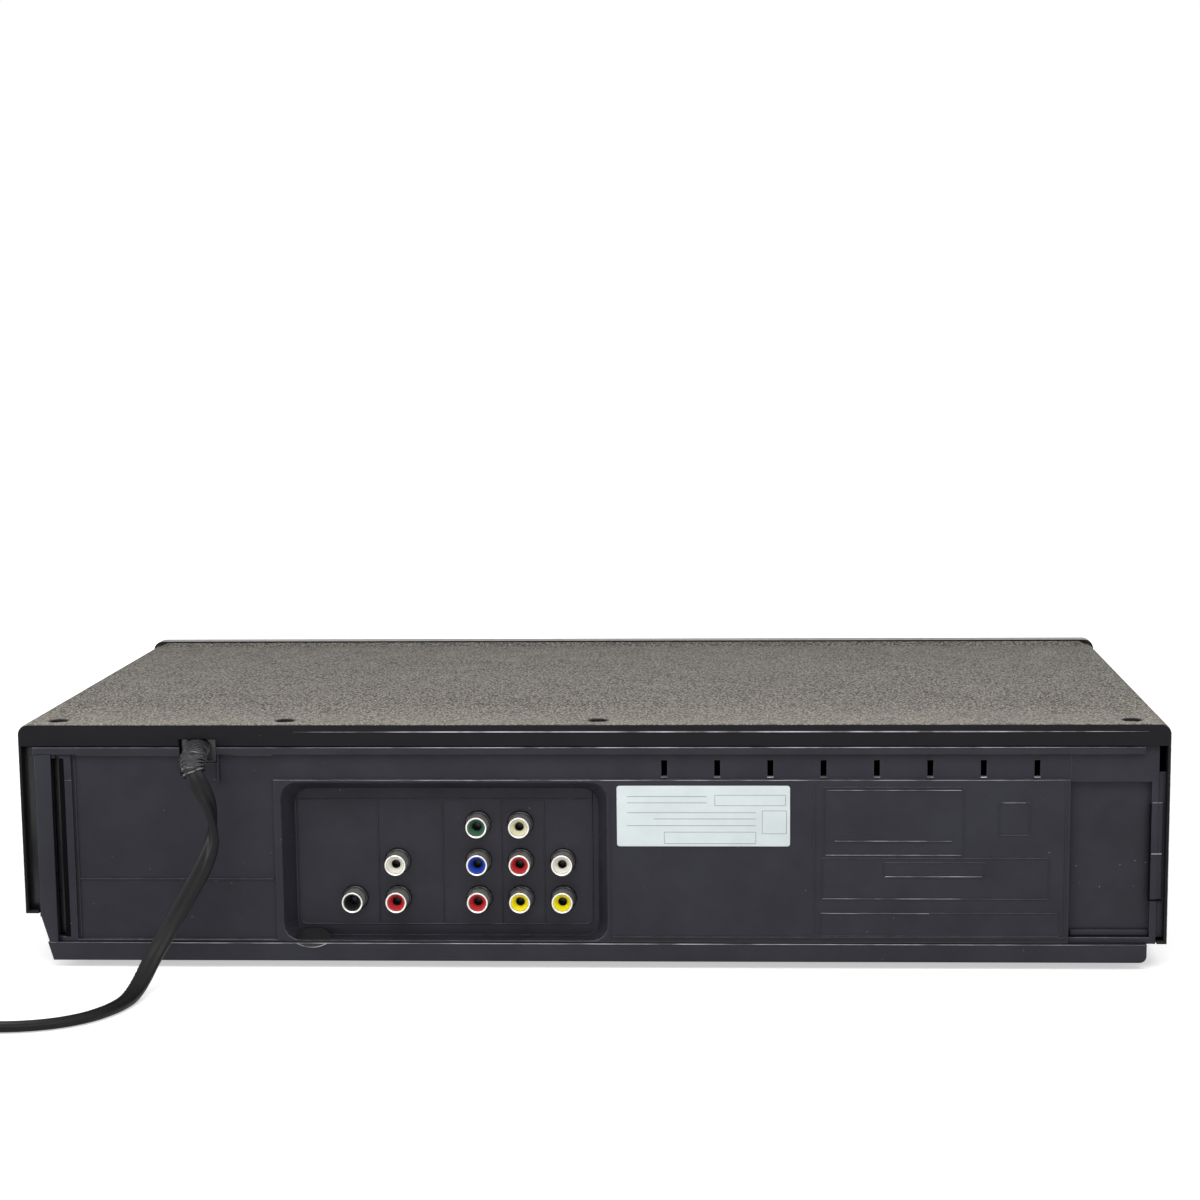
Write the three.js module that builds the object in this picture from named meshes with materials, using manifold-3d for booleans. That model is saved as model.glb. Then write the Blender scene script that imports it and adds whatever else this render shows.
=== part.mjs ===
// A disc and cassette combo player: a moulded tub and rear panel under a steel cover,
// a glossy front panel, a front-loading cassette deck on the right as seen from behind,
// a tray-loading disc drive on the left, and a flat mains cord that ends in a coil and a plug.
// Millimetres. +Z is up, the front faces -Y, and the origin is on the shelf under the middle.
import * as THREE from 'three';
import { mergeVertices } from 'three/addons/utils/BufferGeometryUtils.js';
import Module from 'manifold-3d';

const wasm = await Module();
wasm.setup();

// Driving dimensions: the case is as wide as the cassette deck and the disc drive need side by side
const cassetteWidth = 187;
const deckMargin = 5.5;
const driveWidth = 146;
const rightGap = 6.5;
const middleGap = 65;
const leftGap = 6.1;
const caseDepth = 232.4;
const coverTop = 94.7;
const frontPanelRise = 1.8;
const frontPanelLow = 3.5;
const frontPanelDepth = 10;
const footHeight = 3;
const coverWall = 1.2;
const mouldWall = 2;
const floorWall = 2.2;
const tubGapRight = 4;
const tubGapLeft = 5.4;

// Clearances
const hairGap = 0.3;
const runGap = 0.5;
const shaftGap = 0.3;
const overrun = 1;

// Mesh resolution
const weldDistance = 1e-4;
const roundSides = 20;
const pinSides = 10;
const jackSides = 12;
const cornerSteps = 4;

const deckWidth = cassetteWidth + 2 * deckMargin;
const roomWidth = rightGap + deckWidth + middleGap + driveWidth + leftGap;
const caseWidth = roomWidth + 2 * mouldWall + tubGapRight + tubGapLeft;
const halfWidth = caseWidth / 2;
const rearY = caseDepth / 2;
const frontY = -rearY;
const panelBackY = frontY + frontPanelDepth;
const frontPanelTop = coverTop + frontPanelRise;

// Solids

function signedVolume(position, triangles) {
  const [a, b, c] = [new THREE.Vector3(), new THREE.Vector3(), new THREE.Vector3()];
  let total = 0;
  for (let i = 0; i < triangles.length; i += 3) {
    a.fromBufferAttribute(position, triangles[i]);
    b.fromBufferAttribute(position, triangles[i + 1]);
    c.fromBufferAttribute(position, triangles[i + 2]);
    total += a.dot(b.cross(c));
  }
  return total / 6;
}

// A closed three.js geometry as a solid that can be cut and joined
function solid(geometry) {
  const bare = new THREE.BufferGeometry();
  bare.setAttribute('position', geometry.attributes.position.clone());
  if (geometry.index) bare.setIndex(geometry.index.clone());
  const merged = mergeVertices(bare, weldDistance);
  const index = merged.index.array;
  const triangles = [];
  for (let i = 0; i < index.length; i += 3) {
    const [a, b, c] = [index[i], index[i + 1], index[i + 2]];
    if (a !== b && b !== c && c !== a) triangles.push(a, b, c);
  }
  if (signedVolume(merged.attributes.position, triangles) < 0) triangles.reverse();
  return new wasm.Manifold(new wasm.Mesh({
    numProp: 3,
    vertProperties: Float32Array.from(merged.attributes.position.array),
    triVerts: Uint32Array.from(triangles),
  }));
}

function geometryOf(body) {
  const mesh = body.getMesh();
  const geometry = new THREE.BufferGeometry();
  const corners = new Float32Array(mesh.numVert * 3);
  for (let i = 0; i < mesh.numVert; i++) {
    for (let k = 0; k < 3; k++) corners[i * 3 + k] = mesh.vertProperties[i * mesh.numProp + k];
  }
  geometry.setAttribute('position', new THREE.BufferAttribute(corners, 3));
  geometry.setIndex(new THREE.BufferAttribute(Uint32Array.from(mesh.triVerts), 1));
  geometry.computeVertexNormals();
  return geometry;
}

const join = (...bodies) => bodies.flat().reduce((whole, piece) => whole.add(piece));
const cut = (body, ...tools) => tools.flat().reduce((left, tool) => left.subtract(tool), body);

// A box between two limits on each axis
function block(x0, x1, y0, y1, z0, z1) {
  const box = new THREE.BoxGeometry(Math.abs(x1 - x0), Math.abs(y1 - y0), Math.abs(z1 - z0));
  return solid(box.translate((x0 + x1) / 2, (y0 + y1) / 2, (z0 + z1) / 2));
}

// A box centred on x and z, between two limits on y
function plateAt(x, z, width, height, y0, y1) {
  return block(x - width / 2, x + width / 2, y0, y1, z - height / 2, z + height / 2);
}

function uprightRod(x, y, radius, z0, z1, sides = pinSides) {
  const rod = new THREE.CylinderGeometry(radius, radius, z1 - z0, sides).rotateX(Math.PI / 2);
  return solid(rod.translate(x, y, (z0 + z1) / 2));
}

function depthRod(x, z, radius, y0, y1, sides = pinSides) {
  const rod = new THREE.CylinderGeometry(radius, radius, Math.abs(y1 - y0), sides);
  return solid(rod.translate(x, (y0 + y1) / 2, z));
}

function crossRod(y, z, radius, x0, x1, sides = pinSides) {
  const rod = new THREE.CylinderGeometry(radius, radius, Math.abs(x1 - x0), sides).rotateZ(Math.PI / 2);
  return solid(rod.translate((x0 + x1) / 2, y, z));
}

// A profile of [radius, height] points turned about an upright axis
function turnedUpright(x, y, profile, sides = roundSides) {
  const points = profile.map(([radius, height]) => new THREE.Vector2(radius, height));
  return solid(new THREE.LatheGeometry(points, sides).rotateX(Math.PI / 2).translate(x, y, 0));
}

// A profile of [radius, y] points turned about an axis that runs from front to back
function turnedDepth(x, z, profile, sides = roundSides) {
  const points = profile.map(([radius, depth]) => new THREE.Vector2(radius, depth));
  return solid(new THREE.LatheGeometry(points, sides).translate(x, 0, z));
}

// An outline of [x, z] points drawn out from y0 to y1
function drawnOut(outline, y0, y1) {
  const shape = new THREE.Shape(outline.map(([x, z]) => new THREE.Vector2(x, z)));
  const geometry = new THREE.ExtrudeGeometry(shape, { depth: y1 - y0, bevelEnabled: false });
  return solid(geometry.rotateX(Math.PI / 2).translate(0, y1, 0));
}

// An outline of [x, y] points raised from z0 to z1
function raised(outline, z0, z1) {
  const shape = new THREE.Shape(outline.map(([x, y]) => new THREE.Vector2(x, y)));
  const geometry = new THREE.ExtrudeGeometry(shape, { depth: z1 - z0, bevelEnabled: false });
  return solid(geometry.translate(0, 0, z0));
}

function arc(cx, cz, radius, from, to, steps = cornerSteps) {
  const points = [];
  for (let i = 0; i <= steps; i++) {
    const angle = THREE.MathUtils.degToRad(from + (to - from) * i / steps);
    points.push([cx + radius * Math.cos(angle), cz + radius * Math.sin(angle)]);
  }
  return points;
}

// A rectangle with round corners, anticlockwise, as [x, z] points
function roundedOutline(x0, x1, z0, z1, radius) {
  return [
    ...arc(x1 - radius, z0 + radius, radius, -90, 0),
    ...arc(x1 - radius, z1 - radius, radius, 0, 90),
    ...arc(x0 + radius, z1 - radius, radius, 90, 180),
    ...arc(x0 + radius, z0 + radius, radius, 180, 270),
  ];
}

// A closed body between two outlines with as many points each
function lofted(outlineA, yA, outlineB, yB) {
  const count = outlineA.length;
  const corners = [];
  for (const [x, z] of outlineA) corners.push(x, yA, z);
  for (const [x, z] of outlineB) corners.push(x, yB, z);
  const index = [];
  for (let i = 0; i < count; i++) {
    const next = (i + 1) % count;
    index.push(i, next, count + i, next, count + next, count + i);
    if (i > 1) index.push(0, i, i - 1, count, count + i - 1, count + i);
  }
  const geometry = new THREE.BufferGeometry();
  geometry.setAttribute('position', new THREE.Float32BufferAttribute(corners, 3));
  geometry.setIndex(index);
  return solid(geometry);
}

// The group and its finishes

const player = new THREE.Group();

function finish(color, roughness, metalness = 0) {
  return new THREE.MeshStandardMaterial({ color, roughness, metalness });
}

const finishes = {
  coverPaint: finish(0x6e6a62, 0.7, 0.2),
  casePlastic: finish(0x2c2c30, 0.6),
  panelGloss: finish(0x0b0b0d, 0.15),
  innerPlastic: finish(0x3a3a3c, 0.6),
  greyPlastic: finish(0x8d9094, 0.5),
  whitePlastic: finish(0xd8d8d2, 0.5),
  steel: finish(0x9fa3a6, 0.4, 0.9),
  darkSteel: finish(0x1b1b1c, 0.45, 0.7),
  board: finish(0x1f4a2c, 0.5),
  boardTan: finish(0xa8854a, 0.6),
  rubber: finish(0x161616, 0.85),
  smoked: finish(0x101216, 0.08),
  paper: finish(0xdce8e6, 0.5),
  copper: finish(0x8a5a32, 0.5, 0.4),
};

function addPart(name, body, material) {
  const mesh = new THREE.Mesh(geometryOf(body), material);
  mesh.name = name;
  player.add(mesh);
}

// Top cover: a steel wrap with rounded shoulders, a rear band and recessed screw seats
const cover = {
  shoulder: 4,
  lowLeft: 21.2,
  lowRight: 10.2,
  bandHeight: 8.5,
  screwInset: 9.4,
  padRadius: 5.2,
  counterbore: 3.5,
  counterDepth: 1.8,
  padWeb: 1.2,
};
const bandLow = coverTop - cover.bandHeight;
const screwSeat = coverTop - cover.counterDepth;
const padLow = screwSeat - cover.padWeb;
const screwY = rearY - cover.screwInset;
const coverScrew = {
  shank: 1.4,
  head: 3.2,
  headHeight: 1.4,
  domeShare: 0.7,
  length: 9,
  slack: 0.4,
  edgeInset: 13.5,
};
const screwColumns = [halfWidth - coverScrew.edgeInset, 116.7, -2.8, -halfWidth + coverScrew.edgeInset];

// Tub: side walls stand inside the cover, with a slanted lower left edge and a stepped right one
const tub = {
  chamferRun: 4.8,
  chamferTop: 19.8,
  stepRun: 3.5,
  stepTop: 9.4,
  cornerRadius: 2.5,
  wallTop: 84,
  lipTop: 10,
};
const tubLeft = halfWidth - tubGapLeft;
const tubRight = -halfWidth + tubGapRight;
const tubFloorLeft = tubLeft - tub.chamferRun;
const tubFloorRight = tubRight + tub.stepRun;
const floorTop = footHeight + floorWall;

// Rear panel planes, from the inside out
const rearPlate = { setback: 2, thickness: 2, mainRise: 1 };
const rearPlateTop = coverTop - coverWall - hairGap;
const plateY = rearY - rearPlate.setback;
const plateInnerY = plateY - rearPlate.thickness;
const mainY = plateY + rearPlate.mainRise;

function coverOutline(inset, lowLeft, lowRight) {
  const side = halfWidth - inset;
  const top = coverTop - inset;
  const radius = cover.shoulder - inset;
  return [
    [0, lowLeft], [side, lowLeft],
    ...arc(side - radius, top - radius, radius, 0, 90),
    ...arc(-side + radius, top - radius, radius, 90, 180),
    [-side, lowRight], [0, lowRight],
  ];
}

const cordHousing = { x: 148.7, width: 14, low: 79.6, high: 89.9 };

function makeTopCover() {
  const hemLeft = tubLeft + hairGap;
  const hemRight = tubRight - hairGap;
  const shell = drawnOut(coverOutline(0, cover.lowLeft, cover.lowRight), panelBackY, rearY);
  const hollow = drawnOut(coverOutline(coverWall, 0, -overrun), panelBackY - overrun, rearY - coverWall);
  const belowBand = block(-halfWidth + coverWall, halfWidth - coverWall,
    rearY - coverWall - overrun, rearY + overrun, 0, bandLow);
  const hems = [
    block(hemLeft, halfWidth, panelBackY, rearY, cover.lowLeft, cover.lowLeft + coverWall),
    block(-halfWidth, hemRight, panelBackY, rearY, cover.lowRight, cover.lowRight + coverWall),
  ];
  const housingNotch = block(cordHousing.x - cordHousing.width / 2, cordHousing.x + cordHousing.width / 2,
    rearY - coverWall - overrun, rearY + overrun, bandLow - overrun, cordHousing.high);
  const padTop = coverTop - coverWall / 2;
  const pads = screwColumns.map((x) => uprightRod(x, screwY, cover.padRadius, padLow, padTop));
  const seats = screwColumns.flatMap((x) => [
    uprightRod(x, screwY, cover.counterbore, screwSeat, coverTop + overrun, jackSides),
    uprightRod(x, screwY, coverScrew.shank + shaftGap, padLow - overrun, coverTop),
  ]);
  return cut(join(cut(shell, hollow, belowBand), hems, pads), housingNotch, seats);
}

function makeCoverScrew(x) {
  const { shank, head, headHeight, domeShare, length } = coverScrew;
  return turnedUpright(x, screwY, [
    [0, screwSeat - length], [shank, screwSeat - length], [shank, screwSeat],
    [head, screwSeat], [head, screwSeat + headHeight / 2], [head * domeShare, screwSeat + headHeight],
    [0, screwSeat + headHeight],
  ], jackSides);
}

// Boards and the frames that the tub's posts carry
const boards = {
  thickness: 1.6,
  low: 12,
  postRadius: 3,
  edge: 6,
  mainGap: 3,
  mainFrontInset: 46.2,
  mainRearInset: 15.2,
  powerWidth: 82,
  powerSideGap: 4.1,
  powerFrontInset: 96.2,
  powerRearInset: 12.2,
  between: 8,
};
const boardTop = boards.low + boards.thickness;

const loader = {
  frontInset: 12.2,
  rearInset: 54.2,
  low: 48,
  top: 82,
  wall: 2,
  legRadius: 4,
  legInset: 4.2,
  legDepthInset: 8,
};
const loaderLeft = tubLeft - mouldWall - leftGap;
const loaderRight = loaderLeft - driveWidth;
const loaderX = (loaderLeft + loaderRight) / 2;
const loaderFront = frontY + loader.frontInset;
const loaderRear = rearY - loader.rearInset;

const deck = {
  frontInset: 36.2,
  rearInset: 16.2,
  low: 18.5,
  thickness: 1.5,
  postRadius: 4,
  postInset: 7,
};
const deckRight = tubRight + mouldWall + rightGap;
const deckLeft = deckRight + deckWidth;
const cassetteX = (deckRight + deckLeft) / 2;
const deckFront = frontY + deck.frontInset;
const deckRear = rearY - deck.rearInset;
const deckTop = deck.low + deck.thickness;

const powerPlace = {
  x0: tubLeft - mouldWall - boards.powerSideGap - boards.powerWidth,
  x1: tubLeft - mouldWall - boards.powerSideGap,
  y0: frontY + boards.powerFrontInset,
  y1: rearY - boards.powerRearInset,
};
const mainPlace = {
  x0: deckLeft + boards.mainGap,
  x1: powerPlace.x0 - boards.between,
  y0: frontY + boards.mainFrontInset,
  y1: rearY - boards.mainRearInset,
};
const boardPosts = [mainPlace, powerPlace].flatMap(({ x0, x1, y0, y1 }) => [
  [x0 + boards.edge, y0 + boards.edge], [x1 - boards.edge, y0 + boards.edge],
  [x0 + boards.edge, y1 - boards.edge], [x1 - boards.edge, y1 - boards.edge],
]);
const loaderPosts = [
  [loaderLeft - loader.legInset, loaderFront + loader.legDepthInset],
  [loaderRight + loader.legInset, loaderFront + loader.legDepthInset],
  [loaderLeft - loader.legInset, loaderRear - loader.legDepthInset],
  [loaderRight + loader.legInset, loaderRear - loader.legDepthInset],
];
const deckPosts = [
  [deckRight + deck.postInset, deckFront + deck.postInset],
  [deckLeft - deck.postInset, deckFront + deck.postInset],
  [deckRight + deck.postInset, deckRear - deck.postInset],
  [deckLeft - deck.postInset, deckRear - deck.postInset],
];

function makeBottomChassis() {
  const outside = [
    ...arc(tubFloorRight + tub.cornerRadius, footHeight + tub.cornerRadius, tub.cornerRadius, 180, 270),
    [tubFloorLeft, footHeight], [tubLeft, tub.chamferTop], [tubLeft, tub.wallTop],
    [tubRight, tub.wallTop], [tubRight, tub.stepTop], [tubFloorRight, tub.stepTop],
  ];
  const inside = [
    [tubFloorRight + mouldWall, floorTop], [tubFloorLeft - mouldWall / 2, floorTop],
    [tubLeft - mouldWall, tub.chamferTop], [tubLeft - mouldWall, tub.wallTop + overrun],
    [tubRight + mouldWall, tub.wallTop + overrun], [tubRight + mouldWall, tub.stepTop + mouldWall],
    [tubFloorRight + mouldWall, tub.stepTop + mouldWall],
  ];
  const walls = cut(drawnOut(outside, panelBackY, plateInnerY),
    drawnOut(inside, panelBackY - overrun, plateInnerY + overrun));
  const lipRunShare = (tub.lipTop - footHeight) / (tub.chamferTop - footHeight);
  const lip = drawnOut([
    ...arc(tubFloorRight + tub.cornerRadius, footHeight + tub.cornerRadius, tub.cornerRadius, 180, 270),
    [tubFloorLeft, footHeight], [tubFloorLeft + tub.chamferRun * lipRunShare, tub.lipTop],
    [tubFloorRight, tub.lipTop],
  ], plateInnerY - mouldWall, rearY);
  const rootZ = footHeight + floorWall / 2;
  const posts = [
    ...boardPosts.map(([x, y]) => uprightRod(x, y, boards.postRadius, rootZ, boards.low)),
    ...loaderPosts.map(([x, y]) => uprightRod(x, y, loader.legRadius, rootZ, loader.low)),
    ...deckPosts.map(([x, y]) => uprightRod(x, y, deck.postRadius, rootZ, deck.low)),
  ];
  return join(walls, lip, posts);
}

const foot = { radius: 9, inset: 37, depthInset: 24 };

function makeFoot(side, end) {
  return uprightRod(side * (halfWidth - foot.inset), end * (rearY - foot.depthInset),
    foot.radius, 0, footHeight, roundSides);
}

// Rear panel: jack recess, cord bay, side slot, right-hand pocket, vent slots and screw bosses
const recess = {
  right: -6.5,
  leftMargin: 26.5,
  low: 10.8,
  high: 72.4,
  depth: 8.5,
  draft: 4,
  radius: 6,
};
const recessFloorY = mainY - recess.depth;
const recessInnerY = recessFloorY - mouldWall;
const rearFeatures = {
  mainHigh: 73.2,
  stripLow: 83.2,
  stripRightInset: 9.5,
  mainRightInset: 37,
  bayInset: 19.8,
  bayRight: 120.5,
  bayLow: 11,
  slotOuterInset: 12.2,
  slotWidth: 3,
  slotLow: 12,
  slotHigh: 81.6,
  pocketEdgeInset: 6.5,
  pocketLow: 12.4,
  pocketHigh: 72.4,
  pocketDepth: 3,
};
const vents = { count: 8, first: -28.1, pitch: 20, width: 2.2, low: 74.5, high: 80.6 };
const bossHeight = 9;
const bossWeb = 3;

// Jack rows and columns, measured from the lower right corner of the recess
const jackGrid = {
  firstColumn: 17.6,
  pitch: 16.2,
  audioGap: 31.2,
  coaxGap: 16.8,
  firstRow: 14.6,
  rowPitch: 14.6,
};
const vcrColumn = recess.right + jackGrid.firstColumn;
const outColumn = vcrColumn + jackGrid.pitch;
const componentColumn = outColumn + jackGrid.pitch;
const audioColumn = componentColumn + jackGrid.audioGap;
const coaxColumn = audioColumn + jackGrid.coaxGap;
const recessLeft = coaxColumn + recess.leftMargin;
const jackRow = (row) => recess.low + jackGrid.firstRow + row * jackGrid.rowPitch;
const rearJacks = [
  { name: 'jack_coaxial_digital', x: coaxColumn, row: 0, color: 0x121212 },
  { name: 'jack_disc_audio_left', x: audioColumn, row: 1, color: 0xf0efe8 },
  { name: 'jack_disc_audio_right', x: audioColumn, row: 0, color: 0xc03838 },
  { name: 'jack_component_green', x: componentColumn, row: 2, color: 0x1e5a3c },
  { name: 'jack_component_blue', x: componentColumn, row: 1, color: 0x1e46b4 },
  { name: 'jack_component_red', x: componentColumn, row: 0, color: 0xc03838 },
  { name: 'jack_audio_out_left', x: outColumn, row: 2, color: 0xf0ead0 },
  { name: 'jack_audio_out_right', x: outColumn, row: 1, color: 0xc03838 },
  { name: 'jack_video_out', x: outColumn, row: 0, color: 0xf0e11e },
  { name: 'jack_audio_in', x: vcrColumn, row: 1, color: 0xf0efe8 },
  { name: 'jack_video_in', x: vcrColumn, row: 0, color: 0xf0e11e },
];
const jack = {
  body: 4.4,
  flange: 6,
  flangeThickness: 1.5,
  collar: 4.8,
  sleeve: 4.1,
  rim: 3.3,
  rimDepth: 0.7,
  bore: 1.6,
  boreDepth: 7,
  hole: 5.1,
};

function makeRearPanel() {
  const f = rearFeatures;
  const lipRunShare = (tub.lipTop - footHeight) / (tub.chamferTop - footHeight);
  const lowLeft = tubFloorLeft + tub.chamferRun * lipRunShare;
  const plate = drawnOut([
    [tubRight, tub.lipTop], [lowLeft, tub.lipTop], [tubLeft, tub.chamferTop],
    [tubLeft, rearPlateTop], [tubRight, rearPlateTop],
  ], plateInnerY, plateY);
  const slotLeft = halfWidth - f.slotOuterInset;
  const slotRight = slotLeft - f.slotWidth;
  const bayLeft = halfWidth - f.bayInset;
  const seam = mouldWall / 2;
  const slotMiddle = (slotLeft + slotRight) / 2;
  const mainSlab = block(-halfWidth + f.mainRightInset, slotMiddle, plateY - seam, mainY,
    tub.lipTop, f.mainHigh);
  const bay = block(f.bayRight, bayLeft, plateY, mainY + overrun, f.bayLow, f.mainHigh + overrun);
  const strip = block(-halfWidth + f.stripRightInset, tubLeft, plateY - seam, rearY,
    f.stripLow, bandLow - hairGap);
  const leftStrip = block(slotMiddle, tubLeft, plateY - seam, mainY, tub.chamferTop, f.stripLow);
  const pan = block(recess.right - mouldWall, recessLeft + mouldWall, recessInnerY, plateInnerY + seam,
    tub.lipTop, recess.high + mouldWall);
  const panCut = lofted(
    roundedOutline(recess.right, recessLeft, recess.low, recess.high, recess.radius), mainY + hairGap,
    roundedOutline(recess.right + recess.draft, recessLeft - recess.draft, recess.low,
      recess.high - recess.draft, recess.radius), recessFloorY);
  const pocketRight = -halfWidth + f.pocketEdgeInset;
  const pocketLeft = -halfWidth + f.mainRightInset;
  const pocketFloor = plateY - f.pocketDepth;
  const pocketPan = block(tubRight, pocketLeft + mouldWall, pocketFloor - mouldWall, plateInnerY + seam,
    f.pocketLow - mouldWall, f.pocketHigh + mouldWall);
  const pocketCut = block(pocketRight, pocketLeft, pocketFloor, mainY + overrun, f.pocketLow, f.pocketHigh);
  const pocketBack = pocketFloor - mouldWall - overrun;
  const chassisCuts = [
    block(tubRight - overrun, tubRight + mouldWall + hairGap, pocketBack, plateInnerY,
      0, f.pocketHigh + mouldWall + overrun),
    block(tubRight - overrun, tubFloorRight + mouldWall + hairGap, pocketBack, plateInnerY,
      0, tub.stepTop + mouldWall + hairGap),
  ];
  const slot = block(slotRight, slotLeft, plateInnerY - overrun, mainY + overrun, f.slotLow, f.slotHigh);
  const ventSlots = Array.from({ length: vents.count }, (_, i) => {
    const x = vents.first - i * vents.pitch;
    return block(x - vents.width / 2, x + vents.width / 2, plateInnerY - overrun, plateY + overrun,
      vents.low, vents.high);
  });
  const housing = block(cordHousing.x - cordHousing.width / 2, cordHousing.x + cordHousing.width / 2,
    plateInnerY - overrun, rearY + overrun, cordHousing.low, cordHousing.high);
  const jackHoles = rearJacks.map(({ x, row }) =>
    depthRod(x, jackRow(row), jack.hole, recessInnerY - overrun, recessFloorY + overrun, jackSides));
  const bosses = screwColumns.flatMap((x) => [
    uprightRod(x, screwY, cover.padRadius, padLow - bossHeight, padLow),
    block(x - bossWeb / 2, x + bossWeb / 2, screwY, plateInnerY + seam, padLow - bossHeight, padLow),
  ]);
  const bossBores = screwColumns.map((x) =>
    uprightRod(x, screwY, coverScrew.shank + shaftGap, screwSeat - coverScrew.length - coverScrew.slack,
      padLow + overrun));
  return cut(join(plate, mainSlab, strip, leftStrip, pan, pocketPan, bosses),
    bay, panCut, pocketCut, chassisCuts, slot, ventSlots, housing, jackHoles, bossBores);
}

const label = { right: -75.5, width: 65.4, low: 47.7, height: 23.3, thickness: 0.3, radius: 1 };

function makeRatingLabel() {
  return drawnOut(roundedOutline(label.right, label.right + label.width, label.low,
    label.low + label.height, label.radius), mainY, mainY + label.thickness);
}

// A phono jack whose axis runs along y: direction is 1 towards the rear, -1 towards the front
function makeJack(x, z, boardY, seatY, collarEndY, tipY, direction) {
  const flangeY = seatY - direction * jack.flangeThickness;
  return turnedDepth(x, z, [
    [0, boardY], [jack.body, boardY],
    [jack.body, flangeY], [jack.flange, flangeY],
    [jack.flange, seatY], [jack.collar, seatY],
    [jack.collar, collarEndY], [jack.sleeve, collarEndY],
    [jack.sleeve, tipY], [jack.rim, tipY],
    [jack.rim, tipY - direction * jack.rimDepth], [jack.bore, tipY - direction * jack.rimDepth],
    [jack.bore, tipY - direction * jack.boreDepth], [0, tipY - direction * jack.boreDepth],
  ], jackSides);
}

// Front panel: face, rim, openings, board pillars and the flap's ears
const face = { wall: 2.5, radius: 4, bevel: 2 };
const faceInnerY = frontY + face.wall;
const frontBoard = {
  backset: 12.8,
  low: 14,
  high: 42,
  highRight: 46,
  sideInset: 9.5,
  pillar: 5,
  towerTop: 81,
  towerInset: 7,
};
const frontBoardY = frontY + frontBoard.backset;

const flap = {
  extra: 2.2,
  low: 44.6,
  high: 79.6,
  thickness: 2.5,
  setback: 1,
  axisBack: 4.3,
  axisHeight: 78.2,
  pinRadius: 1.2,
  pinReach: 2.2,
  lugWidth: 5,
  lugRadius: 1.2,
  earWidth: 3,
  earRise: 4.5,
  sideGap: 0.4,
  edgeGap: 0.6,
};
const flapAxisY = frontY + flap.axisBack;
const flapWidth = cassetteWidth + flap.extra;
const flapLeft = cassetteX + flapWidth / 2;
const flapRight = cassetteX - flapWidth / 2;

const tray = {
  low: 66,
  thickness: 8,
  rearInset: 12,
  doorExtra: 4,
  doorLow: 60,
  doorHeight: 19,
  doorThickness: 2.4,
  doorSetback: 0.6,
  discRadius: 60.75,
  discRim: 7,
  discDepth: 5,
  smallDiscRadius: 40.5,
  smallDiscDepth: 6.5,
  hubHole: 18,
  slotWidth: 32,
  slotRearInset: 39.45,
};
const trayTop = tray.low + tray.thickness;
const trayFrontY = frontY + tray.doorSetback + tray.doorThickness;
const spindleY = trayFrontY + tray.discRim + tray.discRadius;
const trayHalf = driveWidth / 2 - loader.wall - runGap;
const trayRear = loaderRear - tray.rearInset;
const doorWidth = driveWidth + tray.doorExtra;

const displayWindow = { inset: 114.5, z: 39, width: 86, height: 22, thickness: 1.6, setback: 0.2, ledge: 3 };
const windowX = halfWidth - displayWindow.inset;
const button = {
  width: 12,
  height: 6,
  setback: 0.2,
  flange: 1.5,
  flangeThickness: 1,
  stem: 3,
  travel: 1.2,
};
const controls = {
  powerZ: 69.5,
  deckZ: 26,
  ejectShift: 44,
  playShift: 66,
  openInset: 53.5,
  discPlayInset: 31.5,
  jackInset: 21.5,
  jackPitch: 16,
  pillarInset: 13.5,
  pillarLow: 18,
  pillarMiddle: 38,
  pillarHigh: 78,
};
const powerX = (flapLeft + loaderX - doorWidth / 2) / 2;
const buttons = [
  { name: 'power_button', x: powerX, z: controls.powerZ },
  { name: 'cassette_eject_button', x: cassetteX + controls.ejectShift, z: controls.deckZ },
  { name: 'cassette_play_button', x: cassetteX + controls.playShift, z: controls.deckZ },
  { name: 'tray_open_button', x: halfWidth - controls.openInset, z: displayWindow.z },
  { name: 'disc_play_button', x: halfWidth - controls.discPlayInset, z: displayWindow.z },
];
const firstJackX = -halfWidth + controls.jackInset;
const frontJacks = [
  { name: 'front_jack_video', x: firstJackX, color: 0xf0e11e },
  { name: 'front_jack_audio_left', x: firstJackX + controls.jackPitch, color: 0xf0efe8 },
  { name: 'front_jack_audio_right', x: firstJackX + 2 * controls.jackPitch, color: 0xc03838 },
];
const frontJackCollar = 1.8;
const frontJackSetback = 0.6;
const pillars = [
  { x: -halfWidth + controls.pillarInset, z: controls.pillarMiddle },
  { x: cassetteX, z: controls.pillarMiddle },
  { x: powerX, z: controls.pillarMiddle },
  { x: halfWidth - controls.pillarInset, z: controls.pillarMiddle },
  { x: cassetteX, z: controls.pillarLow },
  { x: windowX, z: controls.pillarLow },
  { x: powerX, z: controls.pillarHigh },
];

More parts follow.
